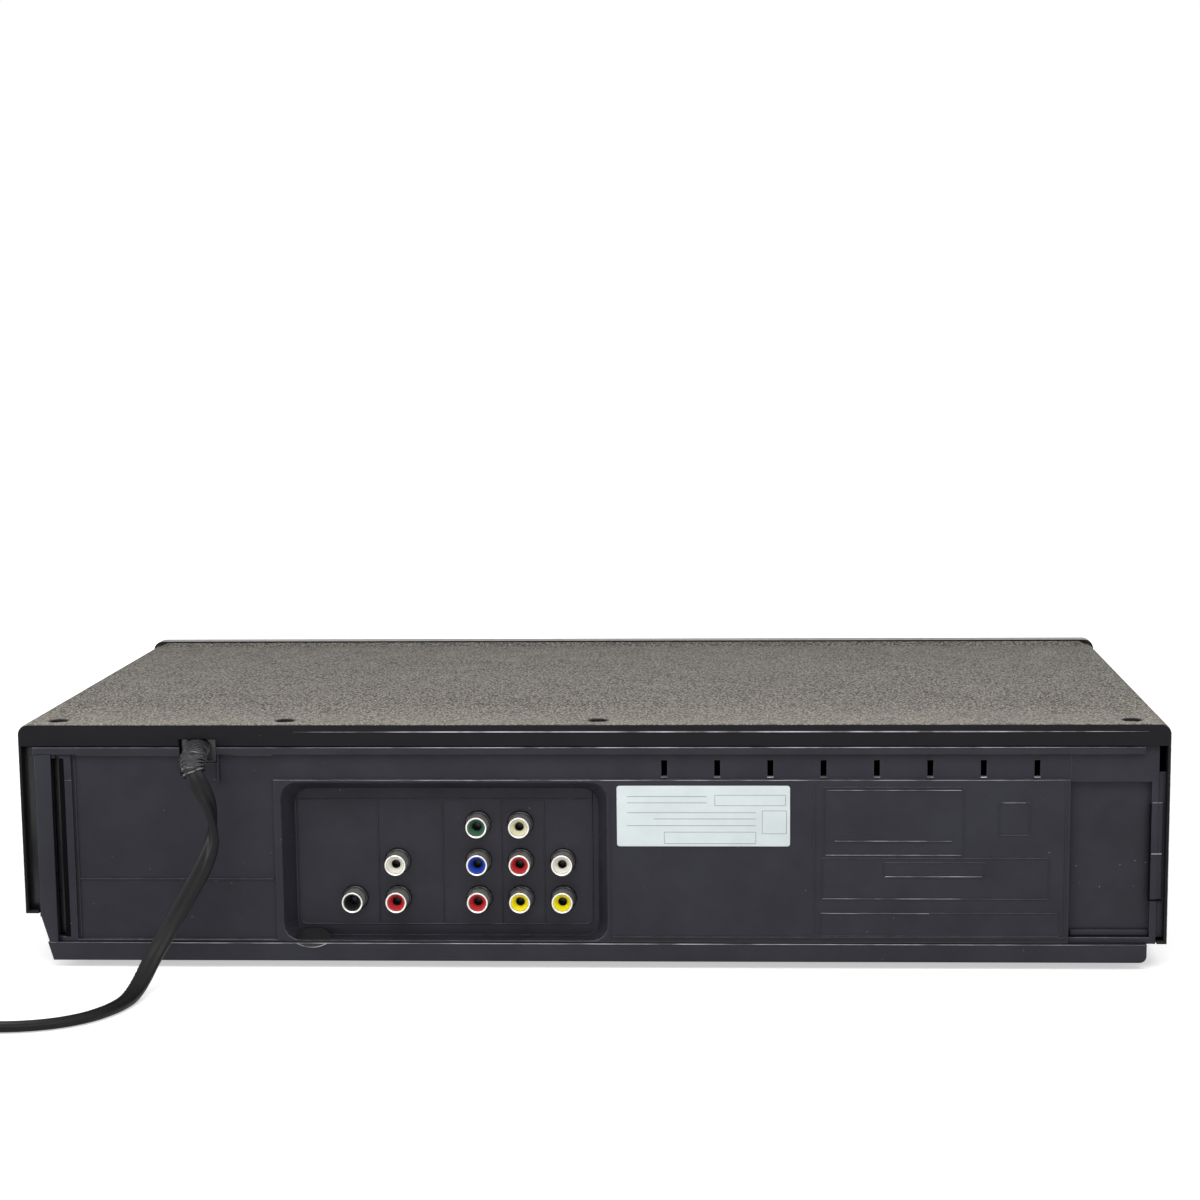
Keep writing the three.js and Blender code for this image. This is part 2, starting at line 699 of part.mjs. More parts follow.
function makeFrontPanel() {
  const outside = roundedOutline(-halfWidth, halfWidth, frontPanelLow, frontPanelTop, face.radius);
  const bevelled = roundedOutline(-halfWidth + face.bevel, halfWidth - face.bevel,
    frontPanelLow + face.bevel, frontPanelTop - face.bevel, face.radius);
  const shell = join(lofted(bevelled, frontY, outside, frontY + face.bevel),
    lofted(outside, frontY + face.bevel, outside, panelBackY));
  const inner = roundedOutline(-halfWidth + face.wall, halfWidth - face.wall,
    frontPanelLow + face.wall, frontPanelTop - face.wall, face.radius);
  const hollow = lofted(inner, faceInnerY, inner, panelBackY + overrun);
  const flapOpening = block(flapRight - flap.sideGap, flapLeft + flap.sideGap,
    frontY - overrun, faceInnerY + overrun, flap.low - flap.edgeGap, flap.high + flap.edgeGap);
  const doorOpening = plateAt(loaderX, tray.doorLow + tray.doorHeight / 2, doorWidth + 2 * runGap,
    tray.doorHeight + 2 * runGap, frontY - overrun, faceInnerY + overrun);
  const w = displayWindow;
  const windowSeat = plateAt(windowX, w.z, w.width + 2 * hairGap, w.height + 2 * hairGap,
    frontY - overrun, frontY + w.setback + w.thickness);
  const windowHole = plateAt(windowX, w.z, w.width - 2 * w.ledge, w.height - 2 * w.ledge,
    frontY - overrun, faceInnerY + overrun);
  const buttonHoles = buttons.map(({ x, z }) => plateAt(x, z, button.width + 2 * hairGap,
    button.height + 2 * hairGap, frontY - overrun, faceInnerY + overrun));
  const jackHoles = frontJacks.map(({ x }) =>
    depthRod(x, controls.deckZ, jack.hole, frontY - overrun, faceInnerY + overrun, jackSides));
  const seam = face.wall / 2;
  const posts = pillars.map(({ x, z }) => plateAt(x, z, frontBoard.pillar, frontBoard.pillar,
    faceInnerY - seam, frontBoardY));
  const earBack = flapAxisY + flap.pinRadius + shaftGap + coverWall;
  const ears = [[flapLeft + flap.sideGap, 1], [flapRight - flap.sideGap, -1]].map(([x, way]) =>
    block(x, x + way * flap.earWidth, faceInnerY - seam, earBack,
      flap.axisHeight - flap.earRise, flap.axisHeight + flap.earRise));
  const pinBore = crossRod(flapAxisY, flap.axisHeight, flap.pinRadius + shaftGap,
    flapRight - flap.sideGap - flap.pinReach - hairGap, flapLeft + flap.sideGap + flap.pinReach + hairGap);
  return cut(join(cut(shell, hollow), posts, ears),
    flapOpening, doorOpening, windowSeat, windowHole, buttonHoles, jackHoles, pinBore);
}

function makeFlap() {
  const plate = block(flapRight, flapLeft, frontY + flap.setback, frontY + flap.setback + flap.thickness,
    flap.low, flap.high);
  const ends = [[flapLeft, 1], [flapRight, -1]].flatMap(([x, way]) => [
    block(x - way * flap.lugWidth, x, frontY + flap.setback + flap.thickness / 2, flapAxisY + flap.lugRadius,
      flap.axisHeight - flap.lugRadius, flap.axisHeight + flap.lugRadius),
    crossRod(flapAxisY, flap.axisHeight, flap.pinRadius,
      x - way * flap.lugWidth / 2, x + way * flap.pinReach),
  ]);
  return join(plate, ends);
}

function makeButton({ x, z }) {
  const cap = plateAt(x, z, button.width, button.height, frontY + button.setback, faceInnerY + hairGap);
  const flangeBack = faceInnerY + hairGap + button.flangeThickness;
  const flange = plateAt(x, z, button.width + 2 * button.flange, button.height + 2 * button.flange,
    faceInnerY + hairGap, flangeBack);
  const stem = plateAt(x, z, button.stem, button.stem, flangeBack, frontBoardY - button.travel - hairGap);
  return join(cap, flange, stem);
}

function makeFrontBoard() {
  const b = frontBoard;
  const back = frontBoardY + boards.thickness;
  const left = halfWidth - b.sideInset;
  const towerRight = deckLeft + b.towerInset;
  return join(
    block(-left, left, frontBoardY, back, b.low, b.high),
    block(towerRight, left, frontBoardY, back, b.high - overrun, b.highRight),
    block(towerRight, loaderRight - loader.legRadius, frontBoardY, back, b.high - overrun, b.towerTop),
  );
}

function makeDisplayWindow() {
  const w = displayWindow;
  return plateAt(windowX, w.z, w.width, w.height, frontY + w.setback, frontY + w.setback + w.thickness);
}

// Disc drive: frame, tray with its door and rack, pinion, spindle, pickup sled and clamp
const rail = { width: 6, thickness: 2.2 };
const sledRail = { spread: 16, width: 4, height: 4, frontInset: 1, rearInset: 22 };
const motor = { radius: 13, height: 8.5, boreDepth: 4.5 };
const turntable = { shaft: 1.5, gap: 0.5, disc: 14, discHeight: 2.5, hub: 7.4, hubTop: 6, hubHeight: 3 };
const sled = { width: 38, motorGap: 3.45, depth: 26, height: 6, lens: 3.5, lensRise: 1.6 };
const sledFront = spindleY + motor.radius + sled.motorGap;
const sledRear = sledFront + sled.depth;
const pinion = {
  module: 1.5,
  teeth: 12,
  frontInset: 8,
  addendum: 1.3,
  dedendum: 1.8,
  toothHalf: 0.95,
  tipHalf: 0.45,
  rootHalf: 1.4,
  thickness: 2.9,
  hub: 4,
  stud: 2,
  rackBar: 2.5,
  rackInset: 10.8,
  rackDrop: 3.4,
};
const pitchRadius = pinion.module * pinion.teeth / 2;
const toothPitch = Math.PI * pinion.module;
const rackPitchX = loaderRight + loader.wall + pinion.rackInset;
const pinionX = rackPitchX + pitchRadius;
const pinionY = loaderFront + pinion.frontInset;
const bridge = { depth: 28, thickness: 2, holeGap: 0.6 };
const puck = { radius: 11.7, flange: 14.5, flangeThickness: 2, bottomGap: 0.8 };
const loaderFloor = loader.low + loader.wall;
const motorTop = loaderFloor + motor.height;

function makeLoaderFrame() {
  const outer = block(loaderRight, loaderLeft, loaderFront, loaderRear, loader.low, loader.top);
  const inner = block(loaderRight + loader.wall, loaderLeft - loader.wall, loaderFront - overrun,
    loaderRear - loader.wall, loaderFloor, loader.top + overrun);
  const railTop = tray.low - hairGap;
  const half = loader.wall / 2;
  const rails = [1, -1].map((way) => {
    const edge = loaderX + way * (driveWidth / 2 - half);
    return block(edge, edge - way * (rail.width + half), loaderFront, loaderRear - half,
      railTop - rail.thickness, railTop);
  });
  const sledRails = [1, -1].map((way) => {
    const middle = loaderX + way * sledRail.spread;
    return block(middle - sledRail.width / 2, middle + sledRail.width / 2,
      sledFront - sledRail.frontInset, loaderRear - sledRail.rearInset,
      loaderFloor - half, loaderFloor + sledRail.height);
  });
  const stud = uprightRod(pinionX, pinionY, pinion.stud, loaderFloor - half,
    tray.low - pinion.rackDrop - hairGap);
  return join(cut(outer, inner), rails, sledRails, stud);
}

// Rack teeth under the tray face the pinion, which stands with a tooth in the rack's gap
function rackOutline(y0, y1) {
  const root = rackPitchX - pinion.dedendum;
  const tip = rackPitchX + pinion.addendum;
  const points = [[root - pinion.rackBar, y1], [root - pinion.rackBar, y0], [root, y0]];
  const first = Math.ceil((y0 + toothPitch - pinionY) / toothPitch);
  const last = Math.floor((y1 - toothPitch - pinionY) / toothPitch);
  for (let k = first; k <= last; k++) {
    const y = pinionY + (k - 0.5) * toothPitch;
    points.push([root, y - pinion.rootHalf], [tip, y - pinion.tipHalf],
      [tip, y + pinion.tipHalf], [root, y + pinion.rootHalf]);
  }
  points.push([root, y1]);
  return points;
}

function makeDiscTray() {
  const body = block(loaderX - trayHalf, loaderX + trayHalf, trayFrontY, trayRear, tray.low, trayTop);
  const well = uprightRod(loaderX, spindleY, tray.discRadius, trayTop - tray.discDepth, trayTop + overrun,
    2 * roundSides);
  const smallWell = uprightRod(loaderX, spindleY, tray.smallDiscRadius, trayTop - tray.smallDiscDepth,
    trayTop, 2 * roundSides);
  const hub = uprightRod(loaderX, spindleY, tray.hubHole, tray.low - overrun, trayTop, roundSides);
  const slot = block(loaderX - tray.slotWidth / 2, loaderX + tray.slotWidth / 2,
    spindleY, trayRear - tray.slotRearInset, tray.low - overrun, trayTop);
  const rack = raised(rackOutline(trayFrontY + overrun, trayRear), tray.low - pinion.rackDrop,
    tray.low + overrun);
  return join(cut(body, well, smallWell, hub, slot), rack);
}

function makeTrayDoor() {
  return plateAt(loaderX, tray.doorLow + tray.doorHeight / 2, doorWidth, tray.doorHeight,
    trayFrontY - tray.doorThickness, trayFrontY);
}

function makePinion() {
  const points = [];
  const tip = pitchRadius + pinion.addendum;
  const root = pitchRadius - pinion.dedendum;
  const flank = [[root, pinion.rootHalf], [pitchRadius, pinion.toothHalf], [tip, pinion.tipHalf]];
  for (let k = 0; k < pinion.teeth; k++) {
    const middle = Math.PI + 2 * Math.PI * k / pinion.teeth;
    const sides = [...flank.map(([r, h]) => [r, -h]), ...flank.toReversed()];
    for (const [r, h] of sides) {
      points.push([pinionX + r * Math.cos(middle + h / r), pinionY + r * Math.sin(middle + h / r)]);
    }
  }
  const top = tray.low - hairGap;
  const gear = raised(points, top - pinion.thickness, top);
  const hubLow = loaderFloor + hairGap;
  const hub = uprightRod(pinionX, pinionY, pinion.hub, hubLow, top - pinion.thickness / 2);
  const bore = uprightRod(pinionX, pinionY, pinion.stud + shaftGap, hubLow - overrun,
    tray.low - pinion.rackDrop);
  return cut(join(gear, hub), bore);
}

function makeSpindleMotor() {
  const can = uprightRod(loaderX, spindleY, motor.radius, loaderFloor, motorTop, roundSides);
  const bore = uprightRod(loaderX, spindleY, turntable.shaft + shaftGap, motorTop - motor.boreDepth,
    motorTop + overrun);
  return cut(can, bore);
}

function makeTurntable() {
  const t = turntable;
  const low = motorTop + t.gap;
  return turnedUpright(loaderX, spindleY, [
    [0, motorTop - motor.boreDepth + shaftGap], [t.shaft, motorTop - motor.boreDepth + shaftGap],
    [t.shaft, low], [t.disc, low], [t.disc, low + t.discHeight], [t.hub, low + t.discHeight],
    [t.hubTop, low + t.discHeight + t.hubHeight], [0, low + t.discHeight + t.hubHeight],
  ]);
}

function makePickupSled() {
  const low = loaderFloor + sledRail.height + hairGap;
  const body = block(loaderX - sled.width / 2, loaderX + sled.width / 2,
    sledFront, sledRear, low, low + sled.height);
  const keel = block(loaderX - sledRail.spread + sledRail.width / 2 + runGap,
    loaderX + sledRail.spread - sledRail.width / 2 - runGap,
    sledFront, sledRear, low - sledRail.height / 2, low + sled.height / 2);
  const lens = uprightRod(loaderX, (sledFront + sledRear) / 2, sled.lens, low + sled.height / 2,
    low + sled.height + sled.lensRise, jackSides);
  return join(body, keel, lens);
}

function makeClampBridge() {
  const strip = block(loaderRight, loaderLeft, spindleY - bridge.depth / 2, spindleY + bridge.depth / 2,
    loader.top, loader.top + bridge.thickness);
  const hole = uprightRod(loaderX, spindleY, puck.radius + bridge.holeGap, loader.top - overrun,
    loader.top + bridge.thickness + overrun, roundSides);
  return cut(strip, hole);
}

function makeClampPuck() {
  const seat = loader.top + bridge.thickness + hairGap;
  return turnedUpright(loaderX, spindleY, [
    [0, trayTop + puck.bottomGap], [puck.radius, trayTop + puck.bottomGap], [puck.radius, seat],
    [puck.flange, seat], [puck.flange, seat + puck.flangeThickness], [0, seat + puck.flangeThickness],
  ]);
}

// Cassette deck: plate with brackets, drum, capstan, pinch arm, reels and holder
const holder = { play: 1.2, wall: 1, frontInset: 39.2, depth: 102, low: 46, height: 29.5, ledge: 8 };
const holderFront = frontY + holder.frontInset;
const holderHalf = cassetteWidth / 2 + holder.play + holder.wall;
const bracket = { wall: 1.5, depth: 107, top: 78 };
const drum = {
  rearInset: 53.2,
  radius: 31,
  tilt: 5,
  middle: 26,
  baseDrop: 5.5,
  baseRise: 6.5,
  gap: 0.4,
  height: 14,
  cap: 11,
  capHeight: 3,
};
const capstan = {
  shift: 58,
  rearInset: 80.2,
  shaft: 1.5,
  top: 44,
  flywheel: 20,
  low: 9.5,
  height: 6,
  bearing: 4,
  bearingTop: 24,
};
const capstanX = cassetteX + capstan.shift;
const capstanY = rearY - capstan.rearInset;
const arm = {
  shift: 80,
  rearInset: 64.2,
  stud: 2,
  boss: 4,
  low: 24,
  thickness: 3,
  reach: 23.1,
  restAngle: 169.9,
  roller: 7,
  rollerHeight: 15,
  bossTop: 31,
};
const armX = cassetteX + arm.shift;
const armY = rearY - arm.rearInset;
const reels = {
  spread: 46,
  frontInset: 82.2,
  stud: 2,
  studTop: 30.5,
  flange: 20,
  flangeHeight: 3,
  spindle: 8.5,
  top: 35,
};
const reelY = frontY + reels.frontInset;
const fin = { count: 6, reach: 10.5, thickness: 1.6, top: 33 };

function tiltedRod(radius, low, high, sides = roundSides) {
  const rod = new THREE.CylinderGeometry(radius, radius, high - low, sides).rotateX(Math.PI / 2);
  rod.translate(0, 0, (low + high) / 2).rotateX(THREE.MathUtils.degToRad(drum.tilt));
  return solid(rod.translate(cassetteX, rearY - drum.rearInset, drum.middle));
}

function makeDeckChassis() {
  const plate = block(deckRight, deckLeft, deckFront, deckRear, deck.low, deckTop);
  const brackets = [1, -1].map((way) => {
    const inner = cassetteX + way * (holderHalf + runGap);
    return block(inner, inner + way * bracket.wall, holderFront, holderFront + bracket.depth,
      deck.low + deck.thickness / 2, bracket.top);
  });
  const reelStuds = [1, -1].map((way) => uprightRod(cassetteX + way * reels.spread, reelY, reels.stud,
    deck.low + deck.thickness / 2, reels.studTop));
  const armStud = uprightRod(armX, armY, arm.stud, deck.low + deck.thickness / 2, arm.bossTop);
  const bearing = uprightRod(capstanX, capstanY, capstan.bearing,
    capstan.low + capstan.height + hairGap, capstan.bearingTop);
  const bore = uprightRod(capstanX, capstanY, capstan.shaft + shaftGap, 0, capstan.bearingTop + overrun);
  const drumBase = tiltedRod(drum.radius, -drum.baseDrop, drum.baseRise);
  return cut(join(plate, brackets, reelStuds, armStud, bearing, drumBase), bore);
}

function makeHeadDrum() {
  const low = drum.baseRise + drum.gap;
  return join(tiltedRod(drum.radius, low, low + drum.height),
    tiltedRod(drum.cap, low + drum.height / 2, low + drum.height + drum.capHeight, jackSides));
}

function makeCapstan() {
  const c = capstan;
  return turnedUpright(capstanX, capstanY, [
    [0, c.low], [c.flywheel, c.low], [c.flywheel, c.low + c.height], [c.shaft, c.low + c.height],
    [c.shaft, c.top], [0, c.top],
  ]);
}

function makePinchArm() {
  const angle = THREE.MathUtils.degToRad(arm.restAngle);
  const rollerX = armX + arm.reach * Math.cos(angle);
  const rollerY = armY + arm.reach * Math.sin(angle);
  const bar = new THREE.BoxGeometry(arm.reach, 2 * arm.stud, arm.thickness);
  bar.translate(arm.reach / 2, 0, arm.low + arm.thickness / 2).rotateZ(angle);
  const lever = solid(bar.translate(armX, armY, 0));
  const boss = uprightRod(armX, armY, arm.boss, deckTop + hairGap, arm.bossTop);
  const bore = uprightRod(armX, armY, arm.stud + shaftGap, deckTop, arm.bossTop + overrun);
  const roller = uprightRod(rollerX, rollerY, arm.roller, arm.low, arm.low + arm.thickness + arm.rollerHeight,
    roundSides);
  return cut(join(lever, boss, roller), bore);
}

function makeReel(way) {
  const x = cassetteX + way * reels.spread;
  const low = deckTop + hairGap;
  const bore = reels.stud + shaftGap;
  const hub = turnedUpright(x, reelY, [
    [0, reels.studTop + runGap], [bore, reels.studTop + runGap], [bore, low], [reels.flange, low],
    [reels.flange, low + reels.flangeHeight], [reels.spindle, low + reels.flangeHeight],
    [reels.spindle, fin.top], [0, reels.top],
  ]);
  const [finRoot, finLow] = [reels.spindle / 2, deckTop + reels.flangeHeight];
  const fins = Array.from({ length: fin.count }, (_, i) => {
    const blade = new THREE.BoxGeometry(fin.reach - finRoot, fin.thickness, fin.top - finLow);
    blade.translate((fin.reach + finRoot) / 2, 0, (fin.top + finLow) / 2);
    return solid(blade.rotateZ(2 * Math.PI * i / fin.count).translate(x, reelY, 0));
  });
  return join(hub, fins);
}

function makeCassetteHolder() {
  const h = holder;
  const [right, left] = [cassetteX - holderHalf, cassetteX + holderHalf];
  const [rear, top] = [holderFront + h.depth, h.low + h.height];
  const outer = block(right, left, holderFront, rear, h.low, top);
  const inner = block(right + h.wall, left - h.wall, holderFront - overrun, rear + overrun,
    h.low + h.wall, top - h.wall);
  const underside = block(right + h.ledge, left - h.ledge, holderFront - overrun, rear + overrun,
    h.low - overrun, h.low + h.height / 2);
  return cut(outer, inner, underside);
}

// Circuit boards and the mains transformer
const transformer = {
  sideInset: 41,
  rearInset: 24,
  core: 34,
  depth: 24,
  height: 26,
  coil: 22,
  coilDepth: 32,
  coilInset: 3,
};
const capacitor = { radius: 9, height: 28, sideInset: 12, rearInset: 52, spread: 26 };
const jackBoard = { top: 66, standoff: 4.7, edge: 9.5 };
const jackBoardY = recessInnerY - jackBoard.standoff;

function boardPlate({ x0, x1, y0, y1 }) {
  const holes = loaderPosts.map(([x, y]) =>
    uprightRod(x, y, loader.legRadius + runGap, boards.low - overrun, boardTop + overrun));
  return cut(block(x0, x1, y0, y1, boards.low, boardTop), holes);
}

function makePowerBoard() {
  const c = capacitor;
  const cans = [0, 1].map((i) => uprightRod(powerPlace.x0 + c.sideInset,
    powerPlace.y1 - c.rearInset - i * c.spread, c.radius,
    boards.low + boards.thickness / 2, boardTop + c.height, jackSides));
  return join(boardPlate(powerPlace), cans);
}

function makeJackBoard() {
  return block(vcrColumn - jackBoard.edge, coaxColumn + jackBoard.edge,
    jackBoardY - boards.thickness, jackBoardY, boardTop, jackBoard.top);
}

function makeTransformer() {
  const t = transformer;
  const [x, y] = [powerPlace.x0 + t.sideInset, powerPlace.y1 - t.rearInset];
  const core = block(x - t.core / 2, x + t.core / 2, y - t.depth / 2, y + t.depth / 2,
    boardTop, boardTop + t.height);
  const coil = block(x - t.coil / 2, x + t.coil / 2, y - t.coilDepth / 2, y + t.coilDepth / 2,
    boardTop + t.coilInset, boardTop + t.height - t.coilInset);
  return join(core, coil);
}

// Mains cord: a flat twin lead that hangs from its strain relief and lies on the floor
const cord = { width: 6.8, thickness: 3.4 };
const relief = {
  plateGap: 0.3,
  plateDepth: 3,
  base: 4.8,
  tip: 4.2,
  heightShare: 0.72,
  groove: 0.7,
  ribs: 4,
  length: 7.5,
  flange: 1.5,
};
const coil = {
  x: 262,
  radius: 41,
  pitch: 5.8,
  turnsPerLayer: 2.75,
  layerRise: 7.5,
  climbTurns: 0.25,
  stepsPerTurn: 24,
  lift: 0.05,
};
// Places along the free stretch: x, y, z, then the heading and lift in degrees of the lead's wide side
const runRoute = [
  [148.6, 123.6, 83.5, 0, 0], [148.5, 125.5, 83, 0, 0], [148.1, 128.1, 81.6, 0, 0],
  [147.3, 130.3, 79.4, 0, 0], [145.7, 131.7, 76.3, 10, 0],
  [143.6, 132, 72.2, 30, 0], [141.7, 132, 67.7, 60, 0], [140.6, 132, 62.7, 85, 0],
  [140.4, 132, 57.7, 110, 0], [141.2, 132.5, 51.7, 145, 0], [144.2, 134, 43.6, 172, 0],
  [148.5, 136.5, 35.4, 180, 0], [153, 139.5, 27.3, 180, 0], [157.3, 143.5, 19.5, 180, 0],
  [161.1, 149, 12.1, 180, 0], [163.4, 156, 6.3, 178, 0], [165, 163, 3, 172, 0],
  [166.4, 171, 1.9, 166, 0], [169.5, 181, 1.8, 154, 0], [175.5, 191, 1.8, 138, 0],
  [185, 198.5, 1.8, 116, 0], [197, 202.4, 1.8, 98, 0], [210, 203, 1.8, 90, 0],
  [224, 203, 1.8, 90, 0], [236, 203, 2.7, 90, 30], [247, 203, 3.4, 90, 75],
  [254.6, 203, 3.45, 90, 90], [261.7, 203, 3.45, 90, 90],
];
const [, coilStartY] = runRoute[runRoute.length - 1];
const coilStart = new THREE.Vector3(coil.x, coilStartY, cord.width / 2 + coil.lift);
const coilCentreY = coilStart.y + coil.radius;
const plug = {
  length: 28,
  width: 24,
  neckWidth: 12,
  height: 13,
  bladeLength: 16,
  bladeWidth: 6.3,
  bladeThickness: 1.5,
  bladeSpread: 12.7,
};
// The last stretch drops from the coil's upper layer to the plug
const tailRoute = [
  [261.7, 285, 10.95, 90, 90], [254.7, 285, 10.95, 90, 90], [246, 285, 10, 90, 60],
  [238, 285, 7.6, 90, 25], [232.2, 285, 6.5, 90, 0], [225.4, 285, 6.5, 90, 0],
];
const leadSidesShares = [[1, 0.5], [0, 1], [-1, 0.5], [-1, -0.5], [0, -1], [1, -0.5]];

// Sweeps the lead's flat section through points with a wide direction at each
function sweptLead(points, wides) {
  const corners = [];
  const count = leadSidesShares.length;
  points.forEach((point, i) => {
    const before = points[Math.max(i - 1, 0)];
    const after = points[Math.min(i + 1, points.length - 1)];
    const along = after.clone().sub(before).normalize();
    const wide = wides[i].clone().addScaledVector(along, -wides[i].dot(along)).normalize();
    const thin = along.clone().cross(wide);
    for (const [thinShare, wideShare] of leadSidesShares) {
      const corner = point.clone()
        .addScaledVector(thin, thinShare * cord.thickness / 2)
        .addScaledVector(wide, wideShare * cord.width / 2);
      corners.push(corner.x, corner.y, corner.z);
    }
  });
  const index = [];
  for (let i = 0; i + 1 < points.length; i++) {
    for (let k = 0; k < count; k++) {
      const [a, b] = [i * count + k, i * count + (k + 1) % count];
      index.push(a, b, a + count, b, b + count, a + count);
    }
  }
  const last = (points.length - 1) * count;
  for (let k = 1; k + 1 < count; k++) index.push(0, k + 1, k, last, last + k, last + k + 1);
  const geometry = new THREE.BufferGeometry();
  geometry.setAttribute('position', new THREE.Float32BufferAttribute(corners, 3));
  geometry.setIndex(index);
  return solid(geometry);
}

function wideDirection(heading, lift) {
  const [a, e] = [THREE.MathUtils.degToRad(heading), THREE.MathUtils.degToRad(lift)];
  return new THREE.Vector3(Math.cos(a) * Math.cos(e), Math.sin(a) * Math.cos(e), Math.sin(e));
}

function makeLeadAlong(route) {
  return sweptLead(route.map(([x, y, z]) => new THREE.Vector3(x, y, z)),
    route.map(([, , , heading, lift]) => wideDirection(heading, lift)));
}

// Radius and height of the coil after a number of turns: in on the lower layer, out on the upper
function coilPlace(turn) {
  const fromMiddle = turn - coil.turnsPerLayer;
  const radius = coil.radius - coil.pitch * (coil.turnsPerLayer - Math.abs(fromMiddle));
  const climb = THREE.MathUtils.smoothstep(fromMiddle, -coil.climbTurns, coil.climbTurns);
  return { radius, height: coilStart.z + coil.layerRise * climb };
}

function coilPoint(turn) {
  const { radius, height } = coilPlace(turn);
  const angle = 2 * Math.PI * turn - Math.PI / 2;
  return new THREE.Vector3(coil.x + radius * Math.cos(angle), coilCentreY + radius * Math.sin(angle), height);
}

// Least gap between the coil's turns, from the flat section's thickness and width
function coilGap(turns) {
  let least = Infinity;
  for (const a of turns) {
    for (let later = 1; a + later <= 2 * coil.turnsPerLayer; later++) {
      const [near, far] = [coilPlace(a), coilPlace(a + later)];
      const across = Math.abs(near.radius - far.radius) - cord.thickness;
      const upward = Math.abs(near.height - far.height) - cord.width;
      const apart = across > 0 && upward > 0 ? Math.hypot(across, upward) : Math.max(across, upward);
      least = Math.min(least, apart);
    }
  }
  return least;
}

function makeCordCoil() {
  const steps = Math.round(2 * coil.turnsPerLayer * coil.stepsPerTurn);
  const turns = Array.from({ length: steps + 1 }, (_, i) => 2 * coil.turnsPerLayer * i / steps);
  console.log(`coil: least gap between turns ${coilGap(turns).toFixed(2)} mm`);
  const up = new THREE.Vector3(0, 0, 1);
  return sweptLead(turns.map(coilPoint), turns.map(() => up));
}

// Strain relief: a plate in the panel's square housing and a ribbed boot that points out and down
function makeStrainRelief() {
  const r = relief;
  const plate = plateAt(cordHousing.x, (cordHousing.low + cordHousing.high) / 2,
    cordHousing.width - 2 * r.plateGap, cordHousing.high - cordHousing.low - 2 * r.plateGap,
    plateInnerY, plateY);
  const keeper = plateAt(cordHousing.x, (cordHousing.low + cordHousing.high) / 2,
    cordHousing.width + 2 * r.flange, cordHousing.high - cordHousing.low - 2 * r.plateGap,
    plateInnerY - r.flange, plateInnerY);
  const profile = [[0, -r.plateDepth], [r.base, -r.plateDepth]];
  for (let i = 0; i < r.ribs; i++) {
    const [from, to] = [i / r.ribs, (i + 0.5) / r.ribs];
    const radius = THREE.MathUtils.lerp(r.base, r.tip, from);
    profile.push([radius, from * r.length], [radius, to * r.length]);
    profile.push([radius - r.groove, to * r.length], [radius - r.groove, (i + 1) / r.ribs * r.length]);
  }
  profile.push([0, r.length]);
  const points = profile.map(([radius, along]) => new THREE.Vector2(radius, along));
  const boot = new THREE.LatheGeometry(points, jackSides).scale(1, 1, r.heightShare);
  const tip = new THREE.Vector3(...runRoute[0]);
  const heading = new THREE.Vector3(...runRoute[1]).sub(tip).normalize();
  boot.applyQuaternion(new THREE.Quaternion().setFromUnitVectors(new THREE.Vector3(0, 1, 0), heading));
  const base = tip.clone().addScaledVector(heading, -r.length - hairGap);
  boot.translate(base.x, base.y, base.z);
  return join(plate, keeper, solid(boot));
}

function makePlug() {
  const end = tailRoute[tailRoute.length - 1];
  const from = end[0] - hairGap;
  const to = from - plug.length;
  const body = raised([
    [from, end[1] - plug.neckWidth / 2], [from, end[1] + plug.neckWidth / 2],
    [from - plug.length / 2, end[1] + plug.width / 2], [to, end[1] + plug.width / 2],
    [to, end[1] - plug.width / 2], [from - plug.length / 2, end[1] - plug.width / 2],
  ], end[2] - plug.height / 2, end[2] + plug.height / 2);
  const blades = [1, -1].map((way) => {
    const y = end[1] + way * plug.bladeSpread / 2;
    return block(to - plug.bladeLength, to + plug.length / 4, y - plug.bladeThickness / 2,
      y + plug.bladeThickness / 2, end[2] - plug.bladeWidth / 2, end[2] + plug.bladeWidth / 2);
  });
  return join(body, blades);
}

// Assembly

addPart('top_cover', makeTopCover(), finishes.coverPaint);
addPart('bottom_chassis', makeBottomChassis(), finishes.casePlastic);
addPart('rear_panel', makeRearPanel(), finishes.casePlastic);
addPart('front_panel', makeFrontPanel(), finishes.panelGloss);
addPart('foot_front_right', makeFoot(-1, -1), finishes.rubber);
addPart('foot_front_left', makeFoot(1, -1), finishes.rubber);
addPart('foot_rear_right', makeFoot(-1, 1), finishes.rubber);
addPart('foot_rear_left', makeFoot(1, 1), finishes.rubber);
screwColumns.forEach((x, i) => addPart(`cover_screw_${i + 1}`, makeCoverScrew(x), finishes.darkSteel));
addPart('rating_label', makeRatingLabel(), finishes.paper);

for (const { name, x, row, color } of rearJacks) {
  const body = makeJack(x, jackRow(row), jackBoardY, recessInnerY, recessFloorY + jack.rimDepth, mainY, 1);
  addPart(name, body, finish(color, 0.4));
}
for (const { name, x, color } of frontJacks) {
  const body = makeJack(x, controls.deckZ, frontBoardY, faceInnerY, faceInnerY - frontJackCollar,
    frontY + frontJackSetback, -1);
  addPart(name, body, finish(color, 0.4));
}
addPart('main_board', boardPlate(mainPlace), finishes.board);
addPart('jack_board', makeJackBoard(), finishes.boardTan);
addPart('power_board', makePowerBoard(), finishes.boardTan);
addPart('power_transformer', makeTransformer(), finishes.copper);
addPart('front_board', makeFrontBoard(), finishes.boardTan);
addPart('display_window', makeDisplayWindow(), finishes.smoked);
for (const place of buttons) addPart(place.name, makeButton(place), finishes.innerPlastic);

